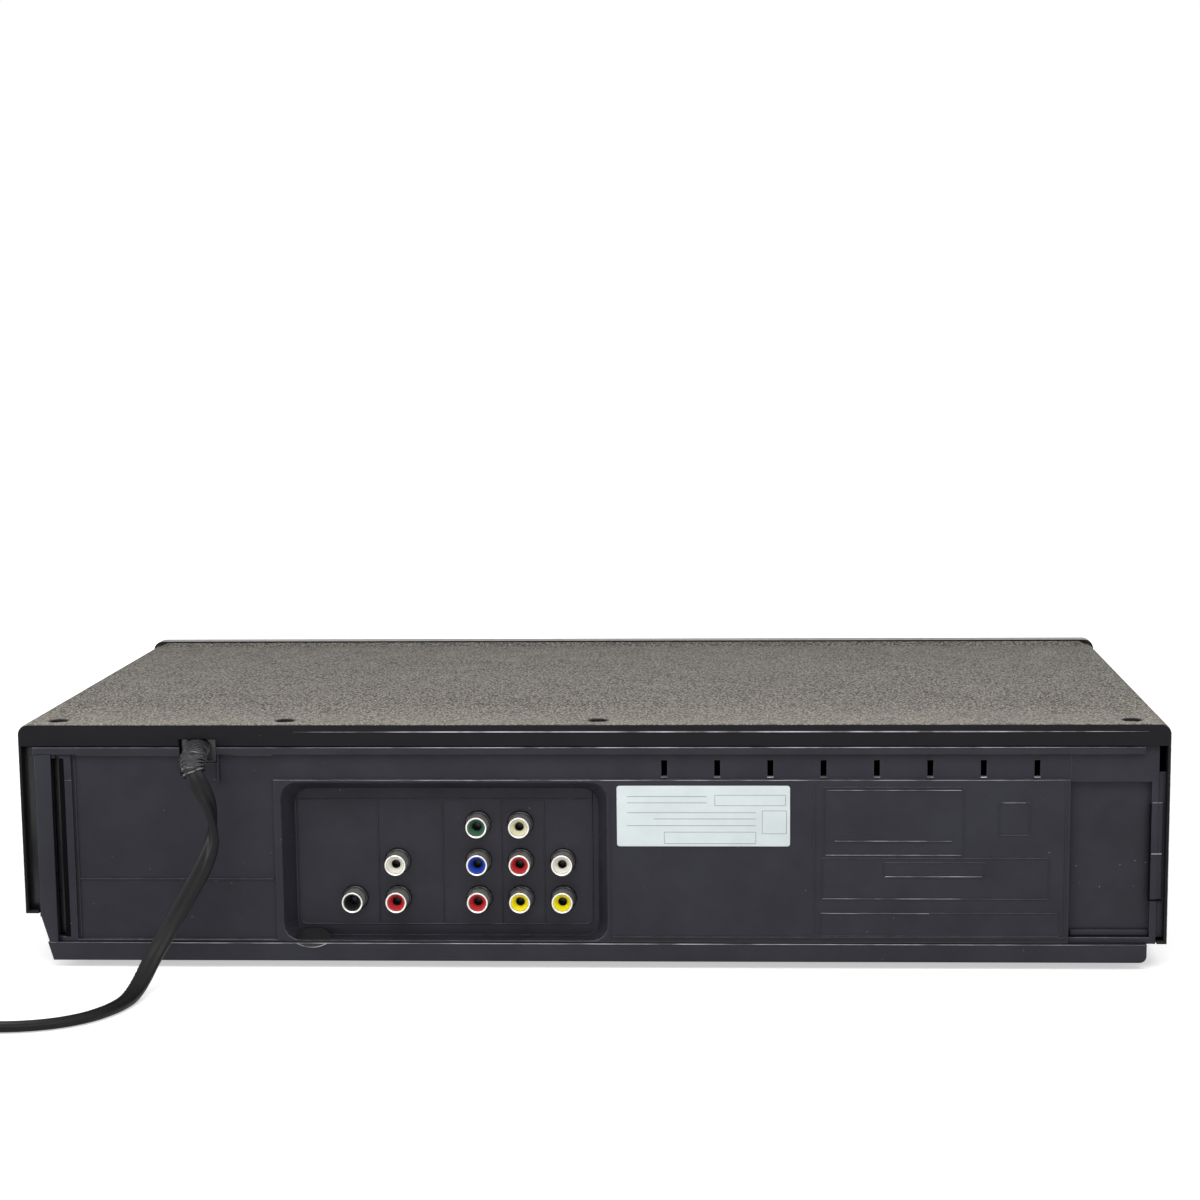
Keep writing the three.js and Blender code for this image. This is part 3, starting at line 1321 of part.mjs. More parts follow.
addPart('loader_frame', makeLoaderFrame(), finishes.innerPlastic);
addPart('disc_tray', makeDiscTray(), finishes.innerPlastic);
addPart('tray_door', makeTrayDoor(), finishes.panelGloss);
addPart('tray_pinion', makePinion(), finishes.whitePlastic);
addPart('spindle_motor', makeSpindleMotor(), finishes.steel);
addPart('turntable', makeTurntable(), finishes.greyPlastic);
addPart('pickup_sled', makePickupSled(), finishes.greyPlastic);
addPart('clamp_bridge', makeClampBridge(), finishes.steel);
addPart('clamp_puck', makeClampPuck(), finishes.whitePlastic);

addPart('deck_chassis', makeDeckChassis(), finishes.steel);
addPart('head_drum', makeHeadDrum(), finishes.steel);
addPart('capstan', makeCapstan(), finishes.steel);
addPart('pinch_roller_arm', makePinchArm(), finishes.rubber);
addPart('supply_reel', makeReel(-1), finishes.whitePlastic);
addPart('takeup_reel', makeReel(1), finishes.whitePlastic);
addPart('cassette_holder', makeCassetteHolder(), finishes.steel);
addPart('cassette_flap', makeFlap(), finishes.panelGloss);

addPart('cord_strain_relief', makeStrainRelief(), finishes.rubber);
addPart('cord_run', makeLeadAlong(runRoute), finishes.rubber);
addPart('cord_coil', makeCordCoil(), finishes.rubber);
addPart('cord_tail', makeLeadAlong(tailRoute), finishes.rubber);
addPart('cord_plug', makePlug(), finishes.rubber);

export default player;
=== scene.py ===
"""Looks of a disc and cassette combo player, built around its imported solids.

Sizes are written in millimetres and go into the meshes in metres. The rear with its jacks faces
+Y, the front panel faces -Y, +Z is up, and the origin is on the shelf under the middle of the case.
"""

import logging
import math
from collections.abc import Sequence
from dataclasses import dataclass, field
from enum import Enum

import bmesh
import bpy
import numpy as np
from mathutils import Matrix, Vector

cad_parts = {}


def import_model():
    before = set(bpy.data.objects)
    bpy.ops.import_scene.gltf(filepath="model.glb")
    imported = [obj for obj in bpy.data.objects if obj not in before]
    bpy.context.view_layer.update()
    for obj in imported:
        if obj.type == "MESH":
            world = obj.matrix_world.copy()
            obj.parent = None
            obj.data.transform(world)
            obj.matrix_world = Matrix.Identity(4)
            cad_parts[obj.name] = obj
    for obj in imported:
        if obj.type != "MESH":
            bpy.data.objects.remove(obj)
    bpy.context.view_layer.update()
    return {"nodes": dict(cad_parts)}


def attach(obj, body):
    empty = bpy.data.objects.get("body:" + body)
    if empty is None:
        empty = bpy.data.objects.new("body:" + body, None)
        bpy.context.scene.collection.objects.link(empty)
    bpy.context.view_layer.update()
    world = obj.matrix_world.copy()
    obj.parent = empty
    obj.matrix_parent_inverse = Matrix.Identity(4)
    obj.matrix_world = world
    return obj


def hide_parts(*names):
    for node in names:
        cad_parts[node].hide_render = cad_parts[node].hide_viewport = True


LOG = logging.getLogger("player")
METRE = 0.001
SHARP = 32.0
Colour = tuple[float, float, float]
Socket = bpy.types.NodeSocket
DUST = (0.55, 0.53, 0.5)
# Pale tone of the painted highlights laid on upward-facing edges.
PAINTED_HIGHLIGHT_TONE = (0.5, 0.5, 0.54)


class Body(Enum):
    """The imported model's moving groups that the pieces of this file ride on."""

    CASE = "case"
    TRAY = "tray"
    FLAP = "flap"
    POWER = "power_button_cap"
    CASSETTE_EJECT = "cassette_eject_button_cap"
    CASSETTE_PLAY = "cassette_play_button_cap"
    TRAY_OPEN = "tray_open_button_cap"
    DISC_PLAY = "disc_play_button_cap"


class Facing(Enum):
    """Which axes an outline's first, second and drawn-out numbers stand for."""

    DEPTH = (0, 2, 1)
    UP = (0, 1, 2)
    SIDE = (1, 2, 0)


# ---------------------------------------------------------------------------------------------
# Surfaces
# ---------------------------------------------------------------------------------------------


@dataclass
class Surface:
    """Points in millimetres, the faces over them, and which of the piece's finishes they take."""

    points: np.ndarray
    quads: np.ndarray
    caps: list[list[int]] = field(default_factory=list)
    finish: int = 0


def lattice(rows: int, columns: int, close_rows: bool, close_columns: bool) -> np.ndarray:
    """Four corners for each cell of a grid of points, worked out as whole index arrays.

    Args:
        rows: how many rows of points the grid has.
        columns: how many points each row has.
        close_rows: whether the last row joins the first.
        close_columns: whether each row's last point joins its first.

    Returns:
        An array of cells by 4 point numbers.
    """
    i = np.arange(rows if close_rows else rows - 1)[:, None]
    j = np.arange(columns if close_columns else columns - 1)[None, :]
    here, below, right = i * columns, (i + 1) % rows * columns, (j + 1) % columns
    return np.stack([here + j, here + right, below + right, below + j], -1).reshape(-1, 4)


def lofted(rings: np.ndarray, finish: int = 0, ends: bool = True) -> Surface:
    """Joins a stack of closed rings, with one flat face over each end.

    Args:
        rings: stack by points by 3 coordinates.
        finish: number of the piece's finish.
        ends: whether the two ends are covered.

    Returns:
        The surface, closed when its ends are covered.
    """
    count, size, _ = rings.shape
    caps = [list(range(size)), list(range((count - 1) * size, count * size))] if ends else []
    return Surface(rings.reshape(-1, 3), lattice(count, size, False, True), caps, finish)


def arc(cx: float, cy: float, radius: float, start: float, end: float, steps: int) -> np.ndarray:
    """Points on a circle from one angle in degrees to another.

    Args:
        cx: centre, first coordinate.
        cy: centre, second coordinate.
        radius: radius of the circle.
        start: first angle.
        end: last angle.
        steps: number of chords.

    Returns:
        The points, one row each.
    """
    angle = np.radians(np.linspace(start, end, steps + 1))
    return np.stack([cx + radius * np.cos(angle), cy + radius * np.sin(angle)], -1)


def rounded(x0: float, x1: float, y0: float, y1: float, radius: float, steps: int = 6) -> np.ndarray:
    """An anticlockwise rectangle whose corners are quarter circles.

    Args:
        x0: low side.
        x1: high side.
        y0: bottom.
        y1: top.
        radius: corner radius.
        steps: chords in each corner.

    Returns:
        The outline's points.
    """
    return np.concatenate([
        arc(x1 - radius, y0 + radius, radius, -90, 0, steps),
        arc(x1 - radius, y1 - radius, radius, 0, 90, steps),
        arc(x0 + radius, y1 - radius, radius, 90, 180, steps),
        arc(x0 + radius, y0 + radius, radius, 180, 270, steps),
    ])


def inset(outline: np.ndarray, distance: float) -> np.ndarray:
    """Moves an anticlockwise outline inwards along the mitre of the two edges at each corner.

    Args:
        outline: points by 2 coordinates.
        distance: how far each edge moves in.

    Returns:
        The moved outline: corner + distance * (n1 + n2) / (1 + n1 . n2), with unit normals n.
    """
    ahead = np.roll(outline, -1, axis=0) - outline
    ahead /= np.linalg.norm(ahead, axis=1, keepdims=True)
    normal = np.stack([-ahead[:, 1], ahead[:, 0]], -1)
    before = np.roll(normal, 1, axis=0)
    mitre = (normal + before) / (1.0 + np.sum(normal * before, axis=1, keepdims=True))
    return outline + distance * mitre


def placed(outline: np.ndarray, along: float, facing: Facing) -> np.ndarray:
    """Puts a flat outline into space.

    Args:
        outline: points by 2 coordinates.
        along: its place along the third axis.
        facing: the axes that it lies on.

    Returns:
        The points by 3 coordinates.
    """
    points = np.empty((len(outline), 3))
    points[:, facing.value[:2]] = outline
    points[:, facing.value[2]] = along
    return points


def plate(outline: np.ndarray, low: float, high: float, facing: Facing = Facing.DEPTH,
          low_edge: float = 0.0, high_edge: float = 0.0, finish: int = 0, steps: int = 3) -> Surface:
    """Draws an outline out and rounds its end edges with quarter circles.

    The ring at angle a of an edge of radius e is the outline inset by e (1 - sin a), at e (1 - cos a)
    from the end face.

    Args:
        outline: anticlockwise points by 2 coordinates.
        low: where it starts.
        high: where it ends.
        facing: the axes that the outline lies on.
        low_edge: edge radius at the start.
        high_edge: edge radius at the end.
        finish: number of the piece's finish.
        steps: chords in each rounded edge.

    Returns:
        The closed surface.
    """
    turn = np.linspace(0.0, np.pi / 2, steps + 1)
    start = [(low_edge * (1 - np.sin(a)), low + low_edge * (1 - np.cos(a)))
             for a in (turn if low_edge else turn[-1:])]
    end = [(high_edge * (1 - np.sin(a)), high - high_edge * (1 - np.cos(a)))
           for a in (turn[::-1] if high_edge else turn[-1:])]
    rings = [placed(inset(outline, move) if move else outline, at, facing) for move, at in start + end]
    return lofted(np.stack(rings), finish)


def bar(x0: float, x1: float, z0: float, z1: float, low: float, high: float, edge: float = 0.1,
        finish: int = 0) -> Surface:
    """A raised bar on a face that looks to +Y, with its outer edge rounded."""
    outline = np.array([[x0, z0], [x1, z0], [x1, z1], [x0, z1]], float)
    return plate(outline, low, high, Facing.DEPTH, 0.0, edge, finish, 2)


def bead(outline: np.ndarray, width: float, low: float, rise: float, finish: int = 0) -> Surface:
    """A half-round bead that follows a closed outline on a face that looks to +Y.

    Its section is the half ellipse (width / 2 cos a, rise sin a), carried round the outline's mitres.

    Args:
        outline: anticlockwise points by 2 coordinates.
        width: width of the bead.
        low: the face's y.
        rise: how far it stands proud.
        finish: number of the piece's finish.

    Returns:
        The closed ring.
    """
    angle = np.linspace(0.0, np.pi, 6)
    rings = [placed(inset(outline, -width / 2 * np.cos(a)), low + rise * np.sin(a), Facing.DEPTH)
             for a in angle]
    return Surface(np.concatenate(rings), lattice(len(angle), len(outline), True, True), [], finish)


def turned(profile: Sequence[tuple[float, float]], centre: tuple[float, float], facing: Facing,
           sides: int = 32, finish: int = 0, flatten: float = 1.0) -> Surface:
    """Turns a profile of (radius, place) pairs about an axis that runs along the facing direction.

    The point at angle a of the pair (r, p) is centre + (r cos a, flatten r sin a) on the outline's axes,
    and p on the third.

    Args:
        profile: radius and place of each ring.
        centre: the axis on the outline's two axes.
        facing: the axes.
        sides: points round each ring.
        finish: number of the piece's finish.
        flatten: share by which the second axis is narrower.

    Returns:
        The surface, closed where the profile starts and ends on the axis or at the same place.
    """
    radius, place = np.array(profile, float).T
    angle = np.linspace(0, 2 * np.pi, sides, endpoint=False)
    rings = np.empty((len(radius), sides, 3))
    rings[..., facing.value[0]] = centre[0] + radius[:, None] * np.cos(angle)
    rings[..., facing.value[1]] = centre[1] + flatten * radius[:, None] * np.sin(angle)
    rings[..., facing.value[2]] = place[:, None]
    return Surface(rings.reshape(-1, 3), lattice(len(radius), sides, False, True), [], finish)


def carried(section: np.ndarray, path: np.ndarray, wide: np.ndarray, finish: int = 0) -> Surface:
    """Carries a closed section along a path, with its second axis along the wide direction.

    Args:
        section: points by (thin, wide) coordinates.
        path: places along the way.
        wide: one direction for each place.
        finish: number of the piece's finish.

    Returns:
        The closed surface with a flat face over each end.
    """
    along = np.gradient(path, axis=0)
    along /= np.linalg.norm(along, axis=1, keepdims=True)
    across = wide - np.sum(wide * along, axis=1, keepdims=True) * along
    across /= np.linalg.norm(across, axis=1, keepdims=True)
    thin = np.cross(along, across)
    thin_part, wide_part = section[None, :, :1], section[None, :, 1:]
    return lofted(path[:, None, :] + thin_part * thin[:, None, :] + wide_part * across[:, None, :], finish)


def squared(values: np.ndarray, power: float = 0.55) -> np.ndarray:
    """Sines or cosines v pushed out to sign(v) |v|^power, which makes a round section squarer."""
    return np.sign(values) * np.abs(values) ** power


def moved(surface: Surface, turn: Matrix, shift: np.ndarray) -> Surface:
    """Turns a surface about the origin and then shifts it, both in millimetres."""
    surface.points = surface.points @ np.array(turn.to_3x3()).T + shift
    return surface


def piece(name: str, surfaces: Sequence[Surface], finishes: Sequence["Palette"],
          replaces: tuple[str, ...] = (), body: Body = Body.CASE,
          sharp: float = SHARP) -> bpy.types.Object:
    """Puts surfaces into one object, points their faces outwards and lets it ride on a body.

    Args:
        name: name of the piece.
        surfaces: what it is made of.
        finishes: its finishes, in the order that the surfaces count them.
        replaces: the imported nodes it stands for.
        body: the body it moves with.
        sharp: angle in degrees from which an edge stays sharp.

    Returns:
        The finished object.
    """
    points = np.concatenate([s.points for s in surfaces]) * METRE
    starts = np.cumsum([0] + [len(s.points) for s in surfaces[:-1]])
    faces, numbers = [], []
    for surface, start in zip(surfaces, starts):
        own = (surface.quads + start).tolist() + [[n + int(start) for n in cap] for cap in surface.caps]
        faces += own
        numbers += [surface.finish] * len(own)
    mesh = bpy.data.meshes.new(name)
    mesh.from_pydata(points.tolist(), [], faces)
    mesh.polygons.foreach_set("material_index", numbers)
    tidy_faces(mesh)
    soften(mesh, sharp)
    for finish in finishes:
        mesh.materials.append(finish.material)
    obj = bpy.data.objects.new(name, mesh)
    bpy.context.scene.collection.objects.link(obj)
    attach(obj, body.value)
    if replaces:
        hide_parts(*replaces)
    LOG.info("piece %s: %d faces", name, len(mesh.polygons))
    return obj


def soften(mesh: bpy.types.Mesh, sharp: float = SHARP) -> None:
    """Shades a mesh smooth, apart from the edges that turn by more than an angle in degrees."""
    mesh.shade_smooth()
    mesh.set_sharp_from_angle(angle=math.radians(sharp))


def tidy_faces(mesh: bpy.types.Mesh) -> None:
    """Merges the points that coincide and points every face outwards.

    Args:
        mesh: the mesh, which is changed in place.
    """
    work = bmesh.new()
    work.from_mesh(mesh)
    bmesh.ops.remove_doubles(work, verts=work.verts, dist=1e-7)
    bmesh.ops.recalc_face_normals(work, faces=work.faces)
    work.to_mesh(mesh)
    work.free()


def carve(obj: bpy.types.Object, cutters: list[Surface]) -> None:
    """Cuts closed surfaces out of a piece with an applied Boolean.

    Args:
        obj: the piece.
        cutters: what is taken away.
    """
    tool = piece("cutter", cutters, [])
    cut = obj.modifiers.new("cut", "BOOLEAN")
    cut.operation, cut.solver, cut.object = "DIFFERENCE", "EXACT", tool
    graph = bpy.context.evaluated_depsgraph_get()
    shape = bpy.data.meshes.new_from_object(obj.evaluated_get(graph))
    obj.modifiers.clear()
    obj.data = shape
    soften(shape)
    bpy.data.objects.remove(tool)


# ---------------------------------------------------------------------------------------------
# Finishes
# ---------------------------------------------------------------------------------------------


class Sheet:
    """One material's nodes, with short calls that add and join them."""

    def __init__(self, name: str) -> None:
        """Starts an empty material.

        Args:
            name: name of the material.
        """
        self.material = bpy.data.materials.new(name)
        self.material.use_nodes = True
        self.tree = self.material.node_tree
        self.tree.nodes.clear()
        self.place = self.node("TexCoord").outputs["Object"]

    def node(self, kind: str, inputs: dict | None = None, **settings: object) -> bpy.types.Node:
        """Adds a node and sets it up.

        Args:
            kind: the node's type without its ShaderNode prefix.
            inputs: values or sockets, by socket name or number.
            settings: the node's own properties.

        Returns:
            The new node.
        """
        node = self.tree.nodes.new("ShaderNode" + kind)
        for key, value in settings.items():
            setattr(node, key, value)
        for key, value in (inputs or {}).items():
            if isinstance(value, Socket):
                self.tree.links.new(value, node.inputs[key])
            else:
                node.inputs[key].default_value = value
        return node

    def stretched(self, scale: Colour) -> Socket:
        """Object coordinates stretched along each axis."""
        return self.node("Mapping", {"Vector": self.place, "Scale": scale}).outputs[0]

    def noise(self, size: float, detail: float = 3.0, place: Socket | None = None,
              roughness: float = 0.55) -> Socket:
        """Noise whose blobs are about size millimetres across."""
        return self.node("TexNoise", {"Vector": place or self.place, "Scale": 1 / (size * METRE),
                                      "Detail": detail, "Roughness": roughness}).outputs["Fac"]

    def cells(self, size: float) -> Socket:
        """Distance inside a pattern of cells about size millimetres across."""
        return self.node("TexVoronoi", {"Vector": self.place, "Scale": 1 / (size * METRE)}).outputs["Distance"]

    def ranged(self, value: Socket, low: float, high: float, to_low: float, to_high: float) -> Socket:
        """Maps a value's range onto another and keeps it inside."""
        return self.node("MapRange", {"Value": value, "From Min": low, "From Max": high,
                                      "To Min": to_low, "To Max": to_high}).outputs["Result"]

    def mixed(self, share: Socket, a: Socket | Colour, b: Socket | Colour) -> Socket:
        """Mixes two colours.

        Args:
            share: how much of the second there is.
            a: the first colour.
            b: the second colour.

        Returns:
            The mixed colour.
        """
        node = self.node("Mix", data_type="RGBA")
        for name, value in (("A", a), ("B", b)):
            socket = [s for s in node.inputs if s.name == name and s.type == "RGBA"][0]
            if isinstance(value, Socket):
                self.tree.links.new(value, socket)
            else:
                socket.default_value = (*value, 1.0)
        self.tree.links.new(share, node.inputs["Factor"])
        return [s for s in node.outputs if s.type == "RGBA"][0]

    def joined(self, a: Socket, b: Socket | float, how: str) -> Socket:
        """Joins two numbers by an operation, such as MULTIPLY or MAXIMUM."""
        return self.node("Math", {0: a, 1: b}, operation=how).outputs[0]


def shade(colour: Colour, share: float) -> Colour:
    """A colour made lighter or darker by a share."""
    return tuple(min(1.0, part * share) for part in colour)


@dataclass(frozen=True)
class Finish:
    """A plain moulded finish: fine grain, faint clouds in its colour, softened edges, and optional painted
    shade in inner corners and painted highlights on upper edges.
    """

    name: str
    colour: Colour
    roughness: float = 0.5
    spread: float = 0.08
    metallic: float = 0.0
    mottle: float = 0.12
    cloud: float = 14.0
    grain: float = 0.35
    depth: float = 0.02
    edge: float = 0.25
    specular: float = 0.4
    coat: float = 0.0
    dust: float = 0.0
    # share of painted highlight on upward-facing edges
    painted_edge_highlight: float = 0.0
    # share of painted shade that darkens the inner corners
    painted_corner_shade: float = 0.0

    def tint(self, sheet: Sheet) -> Socket:
        """Colour that drifts between a darker and a lighter tone, with a few specks of dust.

        Args:
            sheet: the material being built.

        Returns:
            The colour.
        """
        clouds = sheet.ranged(sheet.noise(self.cloud), 0.35, 0.65, 0.0, 1.0)
        tone = sheet.mixed(clouds, shade(self.colour, 1 - self.mottle), shade(self.colour, 1 + self.mottle))
        if not self.dust:
            return tone
        specks = sheet.ranged(sheet.cells(4.2), 0.035, 0.045, 1.0, 0.0)
        patches = sheet.ranged(sheet.noise(26.0), 0.52, 0.6, 0.0, self.dust)
        return sheet.mixed(sheet.joined(specks, patches, "MULTIPLY"), tone, DUST)

    def with_painted_light(self, sheet: Sheet, tone: Socket, soft: Socket) -> Socket:
        """Paints shade into the inner corners and paints highlights on the upper edges.

        The painted highlight is 1 where the softened normal leaves the flat one and looks up, off in inner
        corners, and broken up along the edge by noise.

        Args:
            sheet: the material being built.
            tone: the colour so far.
            soft: the normal softened over the edges.

        Returns:
            The colour with painted shade and painted highlights.
        """
        if not (self.painted_edge_highlight or self.painted_corner_shade):
            return tone
        # Painted shade: the colour darkens where ambient occlusion finds close surfaces, in inner corners and
        # recesses.
        open_air = sheet.node("AmbientOcclusion", {"Distance": 5.0 * METRE}, samples=4).outputs["AO"]
        dark = sheet.ranged(open_air, 0.35, 0.9, self.painted_corner_shade, 0.0)
        tone = sheet.mixed(dark, tone, shade(self.colour, 0.22))
        # Painted highlights: softened edges that look up are lightened towards a pale tone, broken up by noise
        # and kept out of inner corners.
        flat = sheet.node("NewGeometry").outputs["True Normal"]
        bend = sheet.node("VectorMath", {0: soft, 1: flat}, operation="DOT_PRODUCT").outputs["Value"]
        up = sheet.node("SeparateXYZ", {0: soft}).outputs["Z"]
        painted_highlight_share = sheet.ranged(bend, 0.8, 0.985, 1.0, 0.0)
        for limit in (sheet.ranged(up, 0.05, 0.6, 0.12, 1.0), sheet.ranged(open_air, 0.6, 0.85, 0.0, self.painted_edge_highlight),
                      sheet.ranged(sheet.noise(5.0), 0.35, 0.6, 0.35, 1.0)):
            painted_highlight_share = sheet.joined(painted_highlight_share, limit, "MULTIPLY")
        return sheet.mixed(painted_highlight_share, tone, PAINTED_HIGHLIGHT_TONE)

    def height(self, sheet: Sheet) -> Socket:
        """Height of the grain, from 0 to 1."""
        return sheet.noise(self.grain, 2.0)

    def gloss(self, sheet: Sheet) -> Socket:
        """Roughness that drifts about its middle."""
        return sheet.ranged(sheet.noise(self.cloud / 3), 0.3, 0.7, self.roughness - self.spread,
                            self.roughness + self.spread)

    def build(self) -> bpy.types.Material:
        """Builds the material on the first call and finds it again on the next.

        Returns:
            The material.
        """
        found = bpy.data.materials.get(self.name)
        if found:
            return found
        sheet = Sheet(self.name)
        soft = sheet.node("Bevel", {"Radius": self.edge * METRE}, samples=4).outputs[0]
        bump = sheet.node("Bump", {"Height": self.height(sheet), "Distance": self.depth * METRE,
                                   "Strength": 1.0, "Normal": soft}).outputs[0]
        shader = sheet.node("BsdfPrincipled", {
            "Base Color": self.with_painted_light(sheet, self.tint(sheet), soft), "Roughness": self.gloss(sheet),
            "Metallic": self.metallic, "Specular IOR Level": self.specular, "Coat Weight": self.coat,
            "Coat Roughness": 0.06, "Normal": bump,
        })
        sheet.node("OutputMaterial", {"Surface": shader.outputs[0]})
        return sheet.material


@dataclass(frozen=True)
class LeatherPaint(Finish):
    """Paint over an embossed leather grain, its cells with painted highlights on their tops and painted shade
    in their creases.
    """

    # Colour of the painted highlights on the grain's tops.
    tops: Colour = (0.42, 0.37, 0.29)
    # Colour of the painted light towards the rear edge.
    painted_rear_highlight: Colour = (0.4, 0.365, 0.31)

    def tint(self, sheet: Sheet) -> Socket:
        """Painted highlights on the tops and painted shade in the creases over broad clouds, with painted light
        towards the rear edge and painted shade towards the front.

        Args:
            sheet: the material being built.

        Returns:
            The colour.
        """
        tone = Finish.tint(self, sheet)
        # Painted highlights on the grain's tops and painted shade in its creases.
        tops = sheet.ranged(self.height(sheet), 0.49, 0.57, 0.0, 1.0)
        creases = sheet.ranged(self.height(sheet), 0.39, 0.48, 1.0, 0.0)
        light = sheet.mixed(sheet.noise(18.0), shade(self.colour, 3.2), self.tops)
        grain = sheet.mixed(creases, sheet.mixed(tops, tone, light), shade(self.colour, 0.16))
        # Painted light along Y: lighter towards the rear edge, painted shade towards the front.
        back = sheet.node("SeparateXYZ", {0: sheet.place}).outputs["Y"]
        with_rear_highlight = sheet.mixed(sheet.ranged(back, 0.07, 0.116, 0.0, 0.26), grain, self.painted_rear_highlight)
        return sheet.mixed(sheet.ranged(back, -0.11, 0.08, 0.4, 0.0), with_rear_highlight, shade(self.colour, 0.45))

    def height(self, sheet: Sheet) -> Socket:
        """Rough noise with small round cells pressed into it."""
        cells = sheet.ranged(sheet.cells(self.grain * 1.6), 0.1, 0.8, 0.12, -0.12)
        return sheet.joined(sheet.noise(self.grain, 2.0, roughness=0.65), cells, "ADD")


@dataclass(frozen=True)
class TurnedMetal(Finish):
    """Metal with the fine rings or lines that a tool or a brush leaves."""

    stretch: Colour = (1.0, 1.0, 14.0)

    def height(self, sheet: Sheet) -> Socket:
        """Noise stretched along the tool's way."""
        return sheet.noise(self.grain, 3.0, sheet.stretched(self.stretch))


@dataclass(frozen=True)
class Laminate(Finish):
    """A circuit board: copper tracks under the mask, in straight steps."""

    tracks: Colour = (0.1, 0.3, 0.15)

    def tint(self, sheet: Sheet) -> Socket:
        """Tracks from the edges of a square-celled pattern.

        Args:
            sheet: the material being built.

        Returns:
            The colour.
        """
        tone = Finish.tint(self, sheet)
        squares = sheet.node("TexVoronoi", {"Vector": sheet.place, "Scale": 1 / (5.5 * METRE),
                                            "Randomness": 0.85}, distance="MANHATTAN").outputs["Distance"]
        stripes = sheet.node("Math", {0: sheet.joined(squares, 9.0, "MULTIPLY")}, operation="FRACT").outputs[0]
        return sheet.mixed(sheet.ranged(stripes, 0.42, 0.5, 0.0, 1.0), self.tracks, tone)


def jack_plastic(tone: str, colour: Colour, roughness: float = 0.3, mottle: float = 0.12) -> Finish:
    """The coloured plastic inside a phono jack."""
    return Finish(f"insert {tone}", colour, roughness, 0.05, mottle=mottle, grain=0.5, depth=0.004, edge=0.15)


